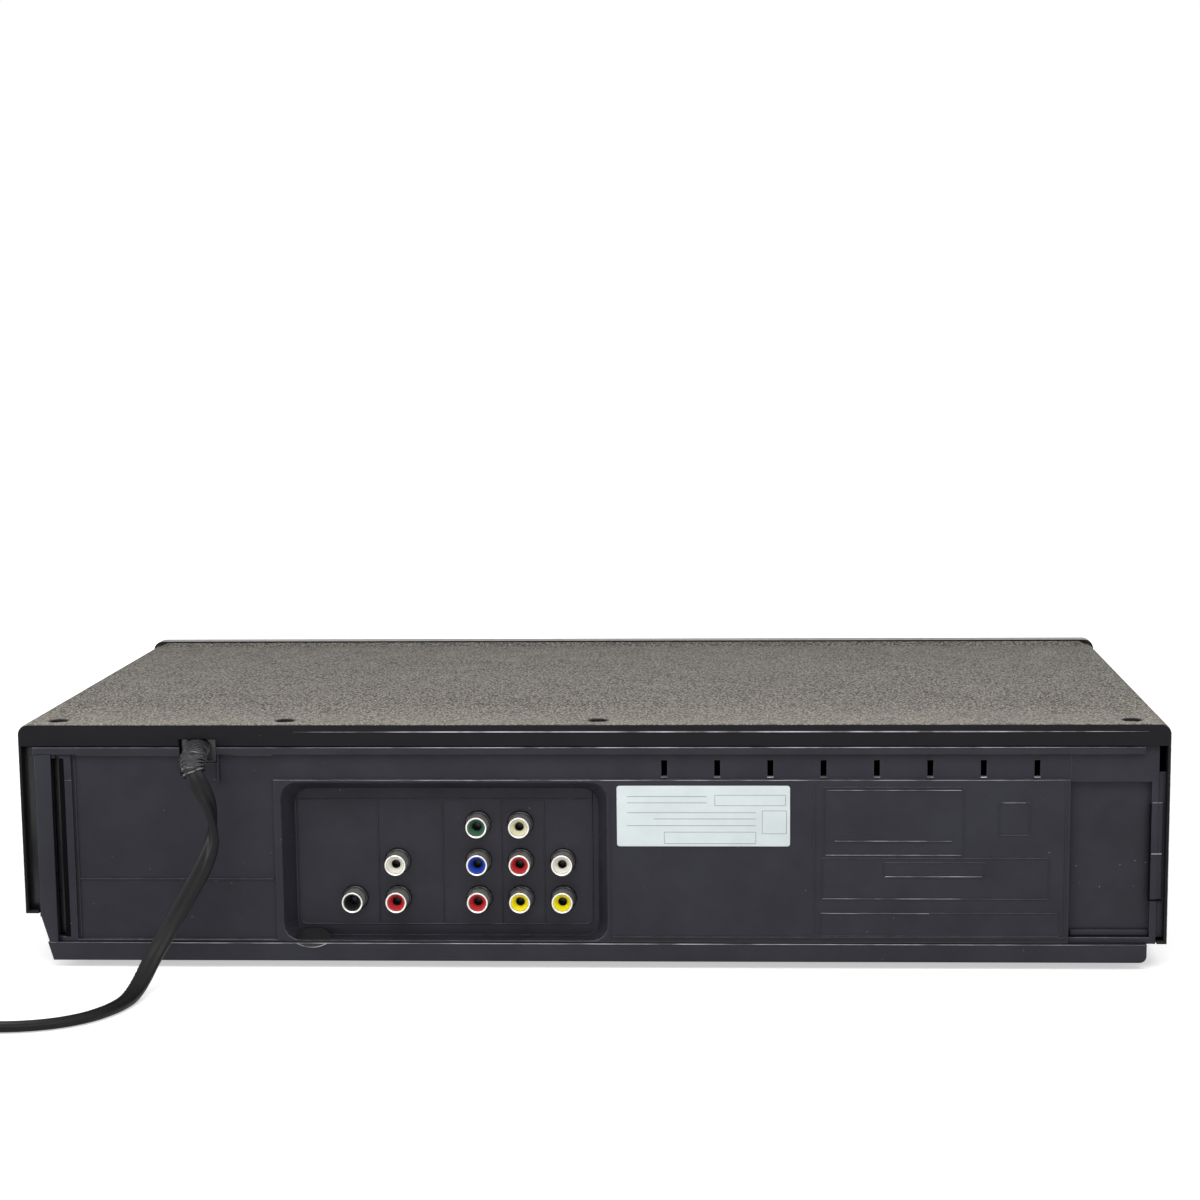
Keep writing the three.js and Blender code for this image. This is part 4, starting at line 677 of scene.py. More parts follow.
class Palette(Enum):
    """Every finish on the player."""

    COVER = LeatherPaint("cover leather paint", (0.101, 0.0945, 0.0855), 0.6, 0.06, mottle=0.14, cloud=40.0,
                         grain=0.74, depth=0.18, edge=0.3, specular=0.12)
    BAND = Finish("band paint", (0.007, 0.0066, 0.009), 0.42, 0.06, grain=0.5, depth=0.01, edge=0.5,
                  specular=0.13, dust=0.4, painted_edge_highlight=0.25, painted_corner_shade=0.5)
    CASE = Finish("case plastic", (0.0202, 0.0199, 0.0278), 0.48, 0.07, mottle=0.16, cloud=22.0, grain=0.42,
                  depth=0.02, edge=0.6, specular=0.22, dust=0.5, painted_edge_highlight=0.7, painted_corner_shade=0.6)
    RELIEF = Finish("case relief", (0.0212, 0.0209, 0.0292), 0.48, 0.07, mottle=0.1, cloud=22.0, grain=0.42,
                    depth=0.02, edge=0.3, specular=0.22, painted_edge_highlight=0.6, painted_corner_shade=0.6)
    # Painted shadow: a near-black finish laid on faces where a slot's shade falls.
    SHADOW = Finish("painted slot shadow", (0.003, 0.003, 0.0038), 0.75, 0.05, grain=0.5, depth=0.01, edge=0.1,
                    specular=0.04)
    # Painted highlights: a pale finish for thin strips on edges that catch the light.
    PAINTED_HIGHLIGHT = Finish("painted highlight strip", (0.36, 0.36, 0.4), 0.35, 0.06, mottle=0.7, cloud=12.0, grain=0.4,
                    depth=0.01, edge=0.1)
    GLOSS = Finish("gloss black", (0.006, 0.006, 0.007), 0.09, 0.03, mottle=0.1, grain=3.0, depth=0.002,
                   edge=0.4, specular=0.3, coat=0.25, painted_corner_shade=0.5)
    PANEL = Finish("panel black", (0.009, 0.009, 0.01), 0.22, 0.04, mottle=0.15, grain=0.6, depth=0.004,
                   edge=0.5, specular=0.2, painted_corner_shade=0.5)
    TRIM = TurnedMetal("silver trim", (0.5, 0.5, 0.52), 0.3, 0.05, 0.9, grain=0.4, depth=0.004, edge=0.1,
                       stretch=(0.1, 1.0, 1.0))
    WINDOW = Finish("smoked window", (0.004, 0.004, 0.005), 0.06, 0.02, mottle=0.1, grain=3.0, depth=0.001,
                    edge=0.3, specular=0.25, coat=0.3)
    SEGMENT = Finish("unlit segment", (0.034, 0.046, 0.046), 0.3, 0.03, grain=0.4, depth=0.002, edge=0.05)
    LENS = Finish("lamp lens", (0.25, 0.008, 0.008), 0.15, 0.03, grain=0.4, depth=0.002, edge=0.1, coat=0.6)
    SATIN = Finish("satin black", (0.012, 0.012, 0.013), 0.32, 0.05, grain=0.3, depth=0.006, edge=0.25,
                   painted_corner_shade=0.5)
    INNER = Finish("inner plastic", (0.035, 0.035, 0.037), 0.5, 0.06, grain=0.5, depth=0.02, edge=0.3)
    GREY = Finish("grey plastic", (0.23, 0.24, 0.25), 0.45, 0.05, grain=0.4, depth=0.01)
    WHITE = Finish("white plastic", (0.64, 0.63, 0.58), 0.4, 0.05, mottle=0.05, grain=0.4, depth=0.008)
    RUBBER = Finish("black rubber", (0.014, 0.014, 0.016), 0.6, 0.08, grain=0.25, depth=0.02, edge=0.3,
                    painted_edge_highlight=0.4, painted_corner_shade=0.5)
    BOOT = Finish("boot vinyl", (0.011, 0.011, 0.014), 0.26, 0.05, grain=0.6, depth=0.006, edge=0.12,
                  specular=0.6)
    VINYL = Finish("cord vinyl", (0.0098, 0.0098, 0.0105), 0.46, 0.06, grain=1.6, depth=0.02, edge=0.2,
                   specular=0.16, dust=0.2)
    SHEET_STEEL = TurnedMetal("sheet steel", (0.42, 0.43, 0.44), 0.42, 0.08, 0.95, mottle=0.08, cloud=18.0,
                              grain=1.2, depth=0.01)
    SLEEVE = TurnedMetal("jack plating", (0.82, 0.8, 0.76), 0.32, 0.06, 0.9, mottle=0.05, grain=0.5,
                         depth=0.004, edge=0.1, stretch=(1.0, 10.0, 1.0))
    DRUM = TurnedMetal("drum alloy", (0.6, 0.61, 0.62), 0.26, 0.04, 1.0, mottle=0.04, grain=0.8, depth=0.004)
    DARK_STEEL = TurnedMetal("dark steel", (0.009, 0.009, 0.009), 0.45, 0.05, 0.2, grain=0.4, depth=0.004,
                            specular=0.3)
    BRASS = TurnedMetal("contact brass", (0.55, 0.38, 0.14), 0.3, 0.05, 1.0, grain=0.5, depth=0.003)
    IRON = TurnedMetal("transformer iron", (0.11, 0.085, 0.06), 0.55, 0.08, 0.5, grain=0.9, depth=0.05,
                       stretch=(1.0, 12.0, 1.0))
    LABEL = Finish("label stock", (0.68, 0.745, 0.75), 0.5, 0.05, mottle=0.03, cloud=8.0, grain=0.6,
                   depth=0.004, edge=0.05)
    INK = Finish("label ink", (0.07, 0.08, 0.08), 0.6, 0.05, grain=0.5, depth=0.002, edge=0.02)
    GREEN_BOARD = Laminate("green board", (0.025, 0.12, 0.05), 0.35, 0.05, grain=0.8, depth=0.01,
                           tracks=(0.045, 0.2, 0.085))
    TAN_BOARD = Laminate("tan board", (0.42, 0.29, 0.13), 0.55, 0.05, grain=0.8, depth=0.01,
                         tracks=(0.3, 0.2, 0.09))
    BLACK_INSERT = jack_plastic("black", (0.012, 0.012, 0.012))
    WHITE_INSERT = jack_plastic("white", (0.78, 0.76, 0.66), 0.35, 0.04)
    CREAM_INSERT = jack_plastic("cream", (0.76, 0.72, 0.5), 0.35, 0.05)
    RED_INSERT = jack_plastic("red", (0.5, 0.03, 0.035))
    GREEN_INSERT = jack_plastic("green", (0.05, 0.125, 0.075))
    BLUE_INSERT = jack_plastic("blue", (0.02, 0.06, 0.42))
    YELLOW_INSERT = jack_plastic("yellow", (0.85, 0.72, 0.012), 0.35, 0.05)

    @property
    def material(self) -> bpy.types.Material:
        """The finish as a material, built on its first use."""
        return self.value.build()


# ---------------------------------------------------------------------------------------------
# The player's planes and places that several pieces share
# ---------------------------------------------------------------------------------------------


@dataclass(frozen=True)
class Case:
    """Planes and places of the case that more than one sub-assembly needs.

    The rear panel's main face lies at main, its sunk fields at sheet, and the front jacks' mouths just
    in front of the front.
    """

    half_width: float = 217.5
    rear: float = 116.2
    front: float = -116.2
    panel_back: float = -106.2
    top: float = 94.7
    wall: float = 1.2
    shoulder: float = 4.0
    main: float = 115.2
    sheet: float = 114.2
    recess_floor: float = 106.7
    jack_board: float = 100.0
    front_jacks: tuple[float, ...] = (-196.0, -180.0, -164.0)
    front_jack_z: float = 26.0


CASE = Case()


# ---------------------------------------------------------------------------------------------
# Sub-assemblies
# ---------------------------------------------------------------------------------------------


@dataclass
class Cover:
    """The painted steel cover, its rear band and the screws in their sunk seats."""

    hem_left: float = 212.4
    low_left: float = 21.2
    hem_right: float = -213.8
    low_right: float = 10.2
    band_low: float = 86.2
    notch_x: float = 148.7
    notch_half: float = 7.0
    notch_high: float = 88.9
    screw_y: float = 106.8
    screw_columns: tuple[float, ...] = (204.0, 116.7, -2.8, -204.0)
    seat: float = 92.9
    seat_radius: float = 3.5
    pad_radius: float = 5.2
    hem_rise: float = 1.25
    hem_reach: float = 7.0
    head_radius: float = 3.2
    head_height: float = 1.4
    head_fall: float = 0.09
    cross_half: float = 0.42
    cross_reach: float = 1.9

    def section(self) -> np.ndarray:
        """The folded sheet's closed section: its outside one way, and its inside back again.

        Returns:
            The outline's points, along X and Z.
        """
        side, top, wall, r = CASE.half_width, CASE.top, CASE.wall, CASE.shoulder
        outside = np.concatenate([
            [[self.hem_left, self.low_left], [side, self.low_left]],
            arc(side - r, top - r, r, 0, 90, 8), arc(-side + r, top - r, r, 90, 180, 8),
            [[-side, self.low_right], [self.hem_right, self.low_right]],
        ])
        inside = np.concatenate([
            [[self.hem_right, self.low_right + wall], [-side + wall, self.low_right + wall]],
            arc(-side + r, top - r, r - wall, 180, 90, 8), arc(side - r, top - r, r - wall, 90, 0, 8),
            [[side - wall, self.low_left + wall], [self.hem_left, self.low_left + wall]],
        ])
        return np.concatenate([outside, inside])

    def band(self) -> np.ndarray:
        """The rear band's outline, with round shoulders and the notch over the cord.

        Returns:
            The outline's points, along X and Z.
        """
        side, top, r = CASE.half_width - 0.5, CASE.top - 0.45, CASE.shoulder - 0.5
        low, high = self.band_low, self.notch_high
        right, left = self.notch_x - self.notch_half, self.notch_x + self.notch_half
        return np.concatenate([
            [[-side, low], [right, low], [right, high], [left, high], [left, low], [side, low]],
            arc(side - r, top - r, r, 0, 90, 8), arc(-side + r, top - r, r, 90, 180, 8),
        ])

    def make_shell(self) -> None:
        """Folds the sheet, presses the four seats into it and paints its edges."""
        sheet = plate(self.section(), CASE.panel_back, CASE.rear, low_edge=0.4, high_edge=0.5)
        shell = piece("cover_shell", [sheet], [Palette.COVER, Palette.BAND], ("top_cover",))
        top, r = CASE.top, self.seat_radius
        press = [(0, top - 3), (r, top - 3), (r, top - 0.5), (r + 0.35, top - 0.12), (r + 0.9, top + 0.02),
                 (r + 0.9, top + 1), (0, top + 1)]
        carve(shell, [turned(press, (x, self.screw_y), Facing.UP) for x in self.screw_columns])
        self.paint_edges(shell.data)

    def paint_edges(self, mesh: bpy.types.Mesh) -> None:
        """Gives the cut edges, the inside and the screw seats the plain band paint.

        A face keeps the leather grain where it looks out of the cover: up along the top, or away from
        the middle on the walls, and doesn't look to the rear.

        Args:
            mesh: the shell's mesh.
        """
        count = len(mesh.polygons)
        centre, normal = np.empty(count * 3), np.empty(count * 3)
        mesh.polygons.foreach_get("center", centre)
        mesh.polygons.foreach_get("normal", normal)
        centre, normal = centre.reshape(-1, 3) / METRE, normal.reshape(-1, 3)
        outward = normal[:, 0] * np.sign(centre[:, 0])
        high = centre[:, 2] > CASE.top - CASE.shoulder - 0.1
        grained = ((normal[:, 2] > 0.05) & high) | (outward > 0.3)
        grained &= normal[:, 1] < 0.75
        for x in self.screw_columns:
            far = np.hypot(centre[:, 0] - x, centre[:, 1] - self.screw_y)
            grained &= (far > self.seat_radius + 1.0) | (normal[:, 2] > 0.999)
        mesh.polygons.foreach_set("material_index", np.where(grained, 0, 1))

    def make_hem(self) -> None:
        """Rolls the cover's front edge up against the lip of the front panel.

        The sheet rises along a smooth step, rise * u^2 (3 - 2 u) with u from 0 to 1 over the reach, and the
        rise fades out towards both shoulders.
        """
        across = np.linspace(-1, 1, 161)[:, None]
        u = np.linspace(0, 1, 9)[None, :]
        fade = np.clip((1 - np.abs(across)) / 0.012, 0, 1)
        rise = self.hem_rise * u**2 * (3 - 2 * u) * fade**0.5
        y = CASE.panel_back + self.hem_reach * (1 - u)
        top = np.stack(np.broadcast_arrays(across * (CASE.half_width - 4), y, CASE.top - 0.05 + rise), -1)
        under = top.copy()
        under[..., 2] = CASE.top - 0.6
        rings = np.concatenate([top, under[:, ::-1]], axis=1)
        piece("cover_hem", [lofted(rings)], [Palette.COVER], ("top_cover",))

    def make_trim(self) -> None:
        """Adds the band and the four cups that the screws sit in."""
        band = plate(self.band(), CASE.rear - CASE.wall, CASE.rear, high_edge=0.45)
        piece("cover_band", [band], [Palette.BAND], ("top_cover",))
        seat, low, top = self.seat, self.seat - CASE.wall, CASE.top - 0.7
        hole, r, pad = 1.7, self.seat_radius, self.pad_radius
        cup = [(hole, low), (pad, low), (pad, top), (r, top), (r, seat + 0.3), (r - 0.3, seat), (hole, seat),
               (hole, low)]
        cups = [turned(cup, (x, self.screw_y), Facing.UP) for x in self.screw_columns]
        piece("cover_seats", cups, [Palette.BAND], ("top_cover",))

    def make_screw(self, number: int, x: float) -> None:
        """Makes one pan-head screw, its head on a grid of radius r and angle.

        The head's top is the seat plus its height less fall * r^2, and sinks where the point is within
        the half width of a cross along X and Y.

        Args:
            number: the screw's number from the left of the rear view.
            x: its place along the cover.
        """
        radius = np.concatenate([np.linspace(0.0, 2.4, 13), [2.8, 3.05, self.head_radius]])[:, None]
        angle = np.linspace(0, 2 * np.pi, 64, endpoint=False)[None, :]
        along, across = radius * np.cos(angle), radius * np.sin(angle)
        crown = self.seat + self.head_height
        inside = np.clip((self.cross_half - np.minimum(np.abs(along), np.abs(across))) / 0.12, 0, 1)
        cross = inside * np.clip((self.cross_reach - radius) / 0.25, 0, 1)
        top = np.stack([x + along, self.screw_y + across, crown - self.head_fall * radius**2 - 0.8 * cross], -1)
        head = Surface(top.reshape(-1, 3), lattice(*top.shape[:2], False, True))
        seat, r, thread = self.seat, self.head_radius, 1.4
        shank = turned([(r, crown - self.head_fall * r**2), (r, seat), (thread, seat), (thread, seat - 8.2),
                        (thread / 2, seat - 9.0), (0, seat - 9.0)], (x, self.screw_y), Facing.UP, 64)
        piece(f"screw_{number}", [head, shank], [Palette.DARK_STEEL], (f"cover_screw_{number}",))

    def build(self) -> None:
        """Makes the cover and everything on it."""
        self.make_shell()
        self.make_hem()
        self.make_trim()
        for number, x in enumerate(self.screw_columns, 1):
            self.make_screw(number, x)


@dataclass
class RearRelief:
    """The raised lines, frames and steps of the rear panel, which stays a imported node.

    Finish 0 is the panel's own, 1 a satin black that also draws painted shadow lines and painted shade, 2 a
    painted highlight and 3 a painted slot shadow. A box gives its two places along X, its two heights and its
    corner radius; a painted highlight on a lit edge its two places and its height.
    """

    header: float = 64.2
    frame: tuple[float, float, float, float] = (-0.2, 113.0, 15.2, 69.3)
    dividers: tuple[float, ...] = (82.1, 57.3, 34.6, 18.2)
    line: float = 0.45
    rise: float = 0.28
    notch_x: float = 107.2
    notch_half: float = 5.6
    notch_drop: float = 1.5
    lip: float = 9.95
    slope: tuple[float, float] = (-8.5, 4.0)
    vents: tuple[float, ...] = tuple(-28.1 - 20.0 * n for n in range(8))
    boxes: tuple[tuple[float, ...], ...] = (
        (-140.7, -88.3, 44.3, 70.4, 0.9), (-165.4, -154.0, 52.0, 64.6, 0.6), (-172.9, -87.4, 27.3, 43.1, 0.5),
        (-148.8, -110.6, 35.6, 41.4, 0.4), (-177.0, -87.0, 12.9, 21.8, 0.5),
    )
    painted_lit_edges: tuple[tuple[float, float, float], ...] = (
        (-139.8, -89.2, 69.2), (-136.5, -92.4, 49.7), (-139.8, -89.2, 44.3), (-163.8, -155.4, 64.4),
        (-140.0, -87.8, 27.4), (-148.0, -111.4, 36.0), (-128.0, -87.4, 21.7),
    )

    def recess_lines(self) -> list[Surface]:
        """The jack recess's frame, its header strip and the dividers between its fields.

        Returns:
            The raised lines.
        """
        x0, x1, z0, z1 = self.frame
        floor, top, half = CASE.recess_floor, CASE.recess_floor + self.rise, self.line / 2
        lines = [bead(rounded(x0, x1, z0, z1, 2.6), self.line * 1.3, floor, self.rise),
                 bar(x0 + 1, x1 - 1, self.header - half, self.header + half, floor, top)]
        return lines + [bar(x - half, x + half, z0 + 0.6, self.header, floor, top) for x in self.dividers]

    def frames(self) -> list[Surface]:
        """The blank embossed frames on the right, each a bead round a rectangle, with painted highlights on
        some edges.

        Returns:
            The beads, the inner bar and the painted highlights on the lit edges.
        """
        face, top = CASE.main, CASE.main + self.rise
        beads = [bead(rounded(*box), 0.5, face, self.rise) for box in self.boxes]
        beads.append(bar(-136.6, -92.3, 49.2, 49.8, face, top))
        return beads + [bar(x0, x1, z, z + 0.13, face, top + 0.04, 0.02, 2) for x0, x1, z in self.painted_lit_edges]

    def steps(self) -> list[Surface]:
        """The steps round the fields, with painted shadow lines along some seams and painted shadow lines and
        painted highlights on the latch, from the left of the rear view to the right.

        Returns:
            The bars and the platform beside the slot.
        """
        sheet, face = CASE.sheet, CASE.main
        left_edge = [
            bar(211.4, 216.3, 22.4, 85.5, sheet - 2.4, sheet - 1.8, finish=1),
            plate(np.array([[205.3, 9.9], [208.6, 9.9], [211.6, 21.0], [211.6, 83.0], [205.3, 83.0]]), sheet,
                  CASE.rear, high_edge=0.35),
        ]
        slot = [
            bar(202.25, 205.35, 12.0, 81.6, face - 4.2, face - 3.8, finish=1),
            # Painted shadow: a near-black strip beside the slot widens its shade down the face.
            bar(200.5, 202.35, 12.0, 81.6, face - 0.05, face + 0.06, 0.02, 3),
            bar(197.7, 202.2, 73.0, 83.3, sheet, face, 0.3),
        ]
        bay = [
            bar(196.2, 196.9, 11.6, 83.0, sheet, sheet + 0.4),
            bar(121.2, 196.6, 34.2, 34.8, sheet, sheet + 0.35),
            bar(155.7, 156.3, 75.0, 86.0, sheet, face, 0.2),
            bar(141.0, 141.7, 72.0, 86.0, sheet, face + 0.2, 0.2),
            # Painted shadow lines under the strip over the left bay, and along the bay's foot.
            bar(156.3, 201.8, 82.3, 83.15, sheet - 0.1, sheet + 0.2, 0.05, 1),
            bar(120.6, 141.0, 82.3, 83.15, sheet - 0.1, sheet + 0.2, 0.05, 1),
            bar(120.6, 197.5, 10.05, 10.9, sheet - 0.1, sheet + 0.3, 0.05, 1),
        ]
        fields = [
            # Painted shadow line along the foot of the right fields, above the ledge.
            bar(-180.3, 118.0, 10.05, 10.7, face - 0.1, face + 0.15, 0.05, 1),
            bar(-180.2, -8.0, 12.0, 12.6, face, face + 0.3),
            bar(-7.6, -7.1, 12.0, 72.4, face, face + 0.25),
            bar(-85.0, -84.5, 14.0, 72.6, face, face + 0.2),
            bar(-179.2, -178.7, 12.0, 72.8, face, face + 0.3),
            bar(-180.9, -180.5, 73.4, 83.0, sheet - 0.05, sheet + 0.08, 0.02, 1),
            bar(-211.0, -181.5, 12.6, 15.0, sheet - 3, sheet - 1.6, 0.3),
        ]
        latch = [
            bar(-216.3, -212.9, 12.4, 76.0, sheet - 1.4, sheet - 0.7),
            bar(-215.3, -210.9, 27.2, 64.4, sheet - 2.9, sheet - 0.1, 0.3),
            # Painted shadow lines on the latch's foot and one side, then painted highlights on two of its
            # edges.
            bar(-215.3, -210.3, 26.5, 27.2, sheet - 0.8, sheet + 0.06, 0.02, 3),
            bar(-210.9, -210.3, 27.2, 63.8, sheet - 0.8, sheet + 0.06, 0.02, 3),
            bar(-215.0, -211.2, 44.6, 44.8, sheet - 0.3, sheet + 0.04, 0.02, 2),
            bar(-215.0, -211.2, 64.2, 64.4, sheet - 0.3, sheet + 0.04, 0.02, 2),
        ]
        return left_edge + slot + bay + fields + latch

    def finger_notch(self) -> list[Surface]:
        """The half-round thumb step under the recess, drawn with painted shade on the slope and the lip and a
        painted highlight on its rim.

        The arc through the chord of half width h that drops by d has radius (h^2 + d^2) / (2 d).

        Returns:
            The painted shade on the lip, the painted highlight on its rim and the painted shade on the slope.
        """
        x, half, drop = self.notch_x, self.notch_half, self.notch_drop
        radius = (half**2 + drop**2) / (2 * drop)
        z, swing = self.lip - drop + radius, math.degrees(math.asin(half / radius))
        hollow = arc(x, z, radius, 270 - swing, 270 + swing, 20)
        rim = np.concatenate([arc(x, z, radius + 0.3, 270 - swing, 270 + swing, 20), hollow[::-1]])
        slope = np.array(self.slope) / math.hypot(*self.slope)
        turn = Matrix(((-1, 0, 0), (0, slope[0], slope[1]), (0, slope[1], -slope[0])))
        scoop = arc(0, 0, 1.0, 0, 180, 24) * (7.2, 7.6)
        # Painted shade on the lip and the slope, and a painted highlight on the rim.
        return [plate(hollow, CASE.rear, CASE.rear + 0.06, finish=1),
                plate(rim, CASE.rear, CASE.rear + 0.2, finish=2),
                moved(plate(scoop, -0.2, 0.08, Facing.UP, finish=1), turn, np.array([x, CASE.main, 10.8]))]

    def painted_highlight_line(self, x0: float, x1: float, z0: float, z1: float, at: float) -> Surface:
        """One painted highlight line that narrows to a point at both ends, over a fifth of its length.

        Args:
            x0: where it starts.
            x1: where it ends.
            z0: its lower edge.
            z1: its upper edge.
            at: depth of the face that it lies on.

        Returns:
            The line, which hardly stands out of the face.
        """
        tail, middle = (x1 - x0) * 0.2, (z0 + z1) / 2
        outline = np.array([[x0, middle - 0.01], [x0 + tail, z0], [x1 - tail, z0], [x1, middle - 0.01],
                            [x1, middle + 0.01], [x1 - tail, z1], [x0 + tail, z1], [x0, middle + 0.01]])
        return plate(outline, at - 0.05, at + 0.08, high_edge=0.004, finish=2)

    def painted_highlights(self) -> list[Surface]:
        """Painted highlights: thin bright lines along the outermost upper edges.

        Returns:
            The painted highlights along the case, and one over each vent.
        """
        rear, face, sheet, left, right = CASE.rear, CASE.main, CASE.sheet, 118.0, -205.0
        runs = [(right, left, 85.66, 85.9, rear), (right - 2, 201, 9.74, 9.96, rear),
                (-180.3, left, 72.95, 73.12, face), (right - 4, left - 6, 91.6, 92.0, rear)]
        # Painted highlights: one bright bar over each vent.
        vents = [bar(x - 1.2, x + 1.2, 73.9, 74.25, sheet, sheet + 0.35, 0.1, 2) for x in self.vents]
        return [self.painted_highlight_line(*run) for run in runs] + vents

    def build(self) -> None:
        """Makes the relief as one moulded piece."""
        parts = self.recess_lines() + self.frames() + self.steps() + self.finger_notch() + self.painted_highlights()
        finishes = [Palette.RELIEF, Palette.SATIN, Palette.PAINTED_HIGHLIGHT, Palette.SHADOW]
        piece("rear_relief", parts, finishes)


@dataclass
class RatingLabel:
    """The blank label with its ruled boxes."""

    right: float = -75.5
    left: float = -10.1
    low: float = 47.7
    high: float = 71.0
    boxes: tuple[tuple[float, ...], ...] = (
        (-73.8, -47.2, 63.4, 67.4), (-62.6, -28.0, 48.8, 53.2), (-74.2, -65.0, 52.6, 61.4),
    )
    lines: tuple[tuple[float, float, float], ...] = (
        (-44.0, -14.0, 66.8), (-44.0, -14.0, 64.4), (-62.6, -14.0, 60.6), (-62.6, -24.0, 58.2),
        (-62.6, -14.0, 55.6),
    )

    def build(self) -> None:
        """Makes the stock and the ruled lines on it."""
        face = CASE.main + 0.3
        stock = plate(rounded(self.right, self.left, self.low, self.high, 1.0), CASE.main, face, high_edge=0.08)
        rules = [bead(rounded(*box, 0.15, 2), 0.16, face - 0.01, 0.03, 1) for box in self.boxes]
        rules += [bar(x0, x1, z, z + 0.16, face - 0.01, face + 0.02, 0.02, 1) for x0, x1, z in self.lines]
        piece("label_stock", [stock, *rules], [Palette.LABEL, Palette.INK], ("rating_label",))


@dataclass
class PhonoJack:
    """A phono jack: black body and collar, plated sleeve, coloured insert and dark contact.

    Its way is 1 where it looks to the rear, and -1 where it lies flush in the front, in a well of its body.
    """

    node: str
    x: float
    z: float
    insert: Palette
    slot: str
    board: float = CASE.jack_board
    seat: float = CASE.recess_floor - 2.0
    tip: float = CASE.main
    way: int = 1

    def ring(self, profile: Sequence[tuple[float, float]], finish: int) -> Surface:
        """Turns a profile whose places count from the tip towards the board."""
        places = [(radius, self.tip - self.way * back) for radius, back in profile]
        return turned(places, (self.x, self.z), Facing.DEPTH, 40, finish)

    def build(self) -> None:
        """Makes the jack as one piece with four finishes."""
        seat, board = abs(self.tip - self.seat), abs(self.tip - self.board)
        if self.way > 0:
            collar = root = seat - 2.7
            mouth = [(4.6, collar), (4.3, collar - 0.1), (4.3, collar - 0.9), (4.05, collar - 1.0),
                     (0, collar - 1.0)]
        else:
            collar, root = seat - 1.8, 7.0
            mouth = [(4.7, collar), (4.14, collar), (4.14, root), (0, root)]
        body = self.ring([(0, board), (4.4, board), (4.4, seat + 1.5), (6, seat + 1.5), (6, seat), (4.8, seat),
                          (4.8, collar + 0.2), *mouth], 0)
        sleeve = self.ring([(3.32, root), (3.32, 0.55), (3.42, 0.16), (3.7, 0.0), (3.96, 0.12), (4.1, 0.45),
                            (4.1, 1.6), (4.02, 1.75), (4.02, 2.0), (4.1, 2.15), (4.1, root), (3.32, root)], 1)
        insert = self.ring([(3.34, root - 0.5), (3.34, 0.8), (3.2, 0.5), (2.95, 0.5), (2.5, 1.1), (2.15, 2.0),
                            (1.85, 2.3), (1.72, 2.8), (1.72, root - 0.5), (3.34, root - 0.5)], 2)
        contact = self.ring([(1.7, root - 0.6), (1.7, 3.6), (1.5, 3.4), (1.3, 3.8), (1.3, root - 0.6),
                             (1.7, root - 0.6)], 3)
        finishes = [Palette.BLACK_INSERT, Palette.SLEEVE, self.insert, Palette.DARK_STEEL]
        piece(f"{self.node}_turned", [body, sleeve, insert, contact], finishes, (self.node,))


@dataclass
class Jacks:
    """All phono jacks: eleven in the rear recess and three in the front panel."""

    columns: tuple[float, ...] = (11.1, 27.3, 43.5, 74.7, 91.5)
    rows: tuple[float, ...] = (25.4, 40.0, 54.6)
    rear: tuple[tuple[str, int, int, Palette, str], ...] = (
        ("jack_coaxial_digital", 4, 0, Palette.BLACK_INSERT, "jack_black"),
        ("jack_disc_audio_left", 3, 1, Palette.WHITE_INSERT, "jack_white"),
        ("jack_disc_audio_right", 3, 0, Palette.RED_INSERT, "jack_red"),
        ("jack_component_green", 2, 2, Palette.GREEN_INSERT, "jack_green"),
        ("jack_component_blue", 2, 1, Palette.BLUE_INSERT, "jack_blue"),
        ("jack_component_red", 2, 0, Palette.RED_INSERT, "jack_red"),
        ("jack_audio_out_left", 1, 2, Palette.CREAM_INSERT, "jack_white"),
        ("jack_audio_out_right", 1, 1, Palette.RED_INSERT, "jack_red"),
        ("jack_video_out", 1, 0, Palette.YELLOW_INSERT, "jack_yellow"),
        ("jack_audio_in", 0, 1, Palette.WHITE_INSERT, "jack_white"),
        ("jack_video_in", 0, 0, Palette.YELLOW_INSERT, "jack_yellow"),
    )
    front: tuple[tuple[str, Palette, str], ...] = (
        ("front_jack_video", Palette.YELLOW_INSERT, "jack_yellow"),
        ("front_jack_audio_left", Palette.WHITE_INSERT, "jack_white"),
        ("front_jack_audio_right", Palette.RED_INSERT, "jack_red"),
    )

    def build(self) -> None:
        """Makes each jack at its column and row."""
        for node, column, row, tone, slot in self.rear:
            PhonoJack(node, self.columns[column], self.rows[row], tone, slot).build()
        for x, (node, tone, slot) in zip(CASE.front_jacks, self.front):
            PhonoJack(node, x, CASE.front_jack_z, tone, slot, board=-103.4, seat=-113.7, tip=-115.6,
                      way=-1).build()


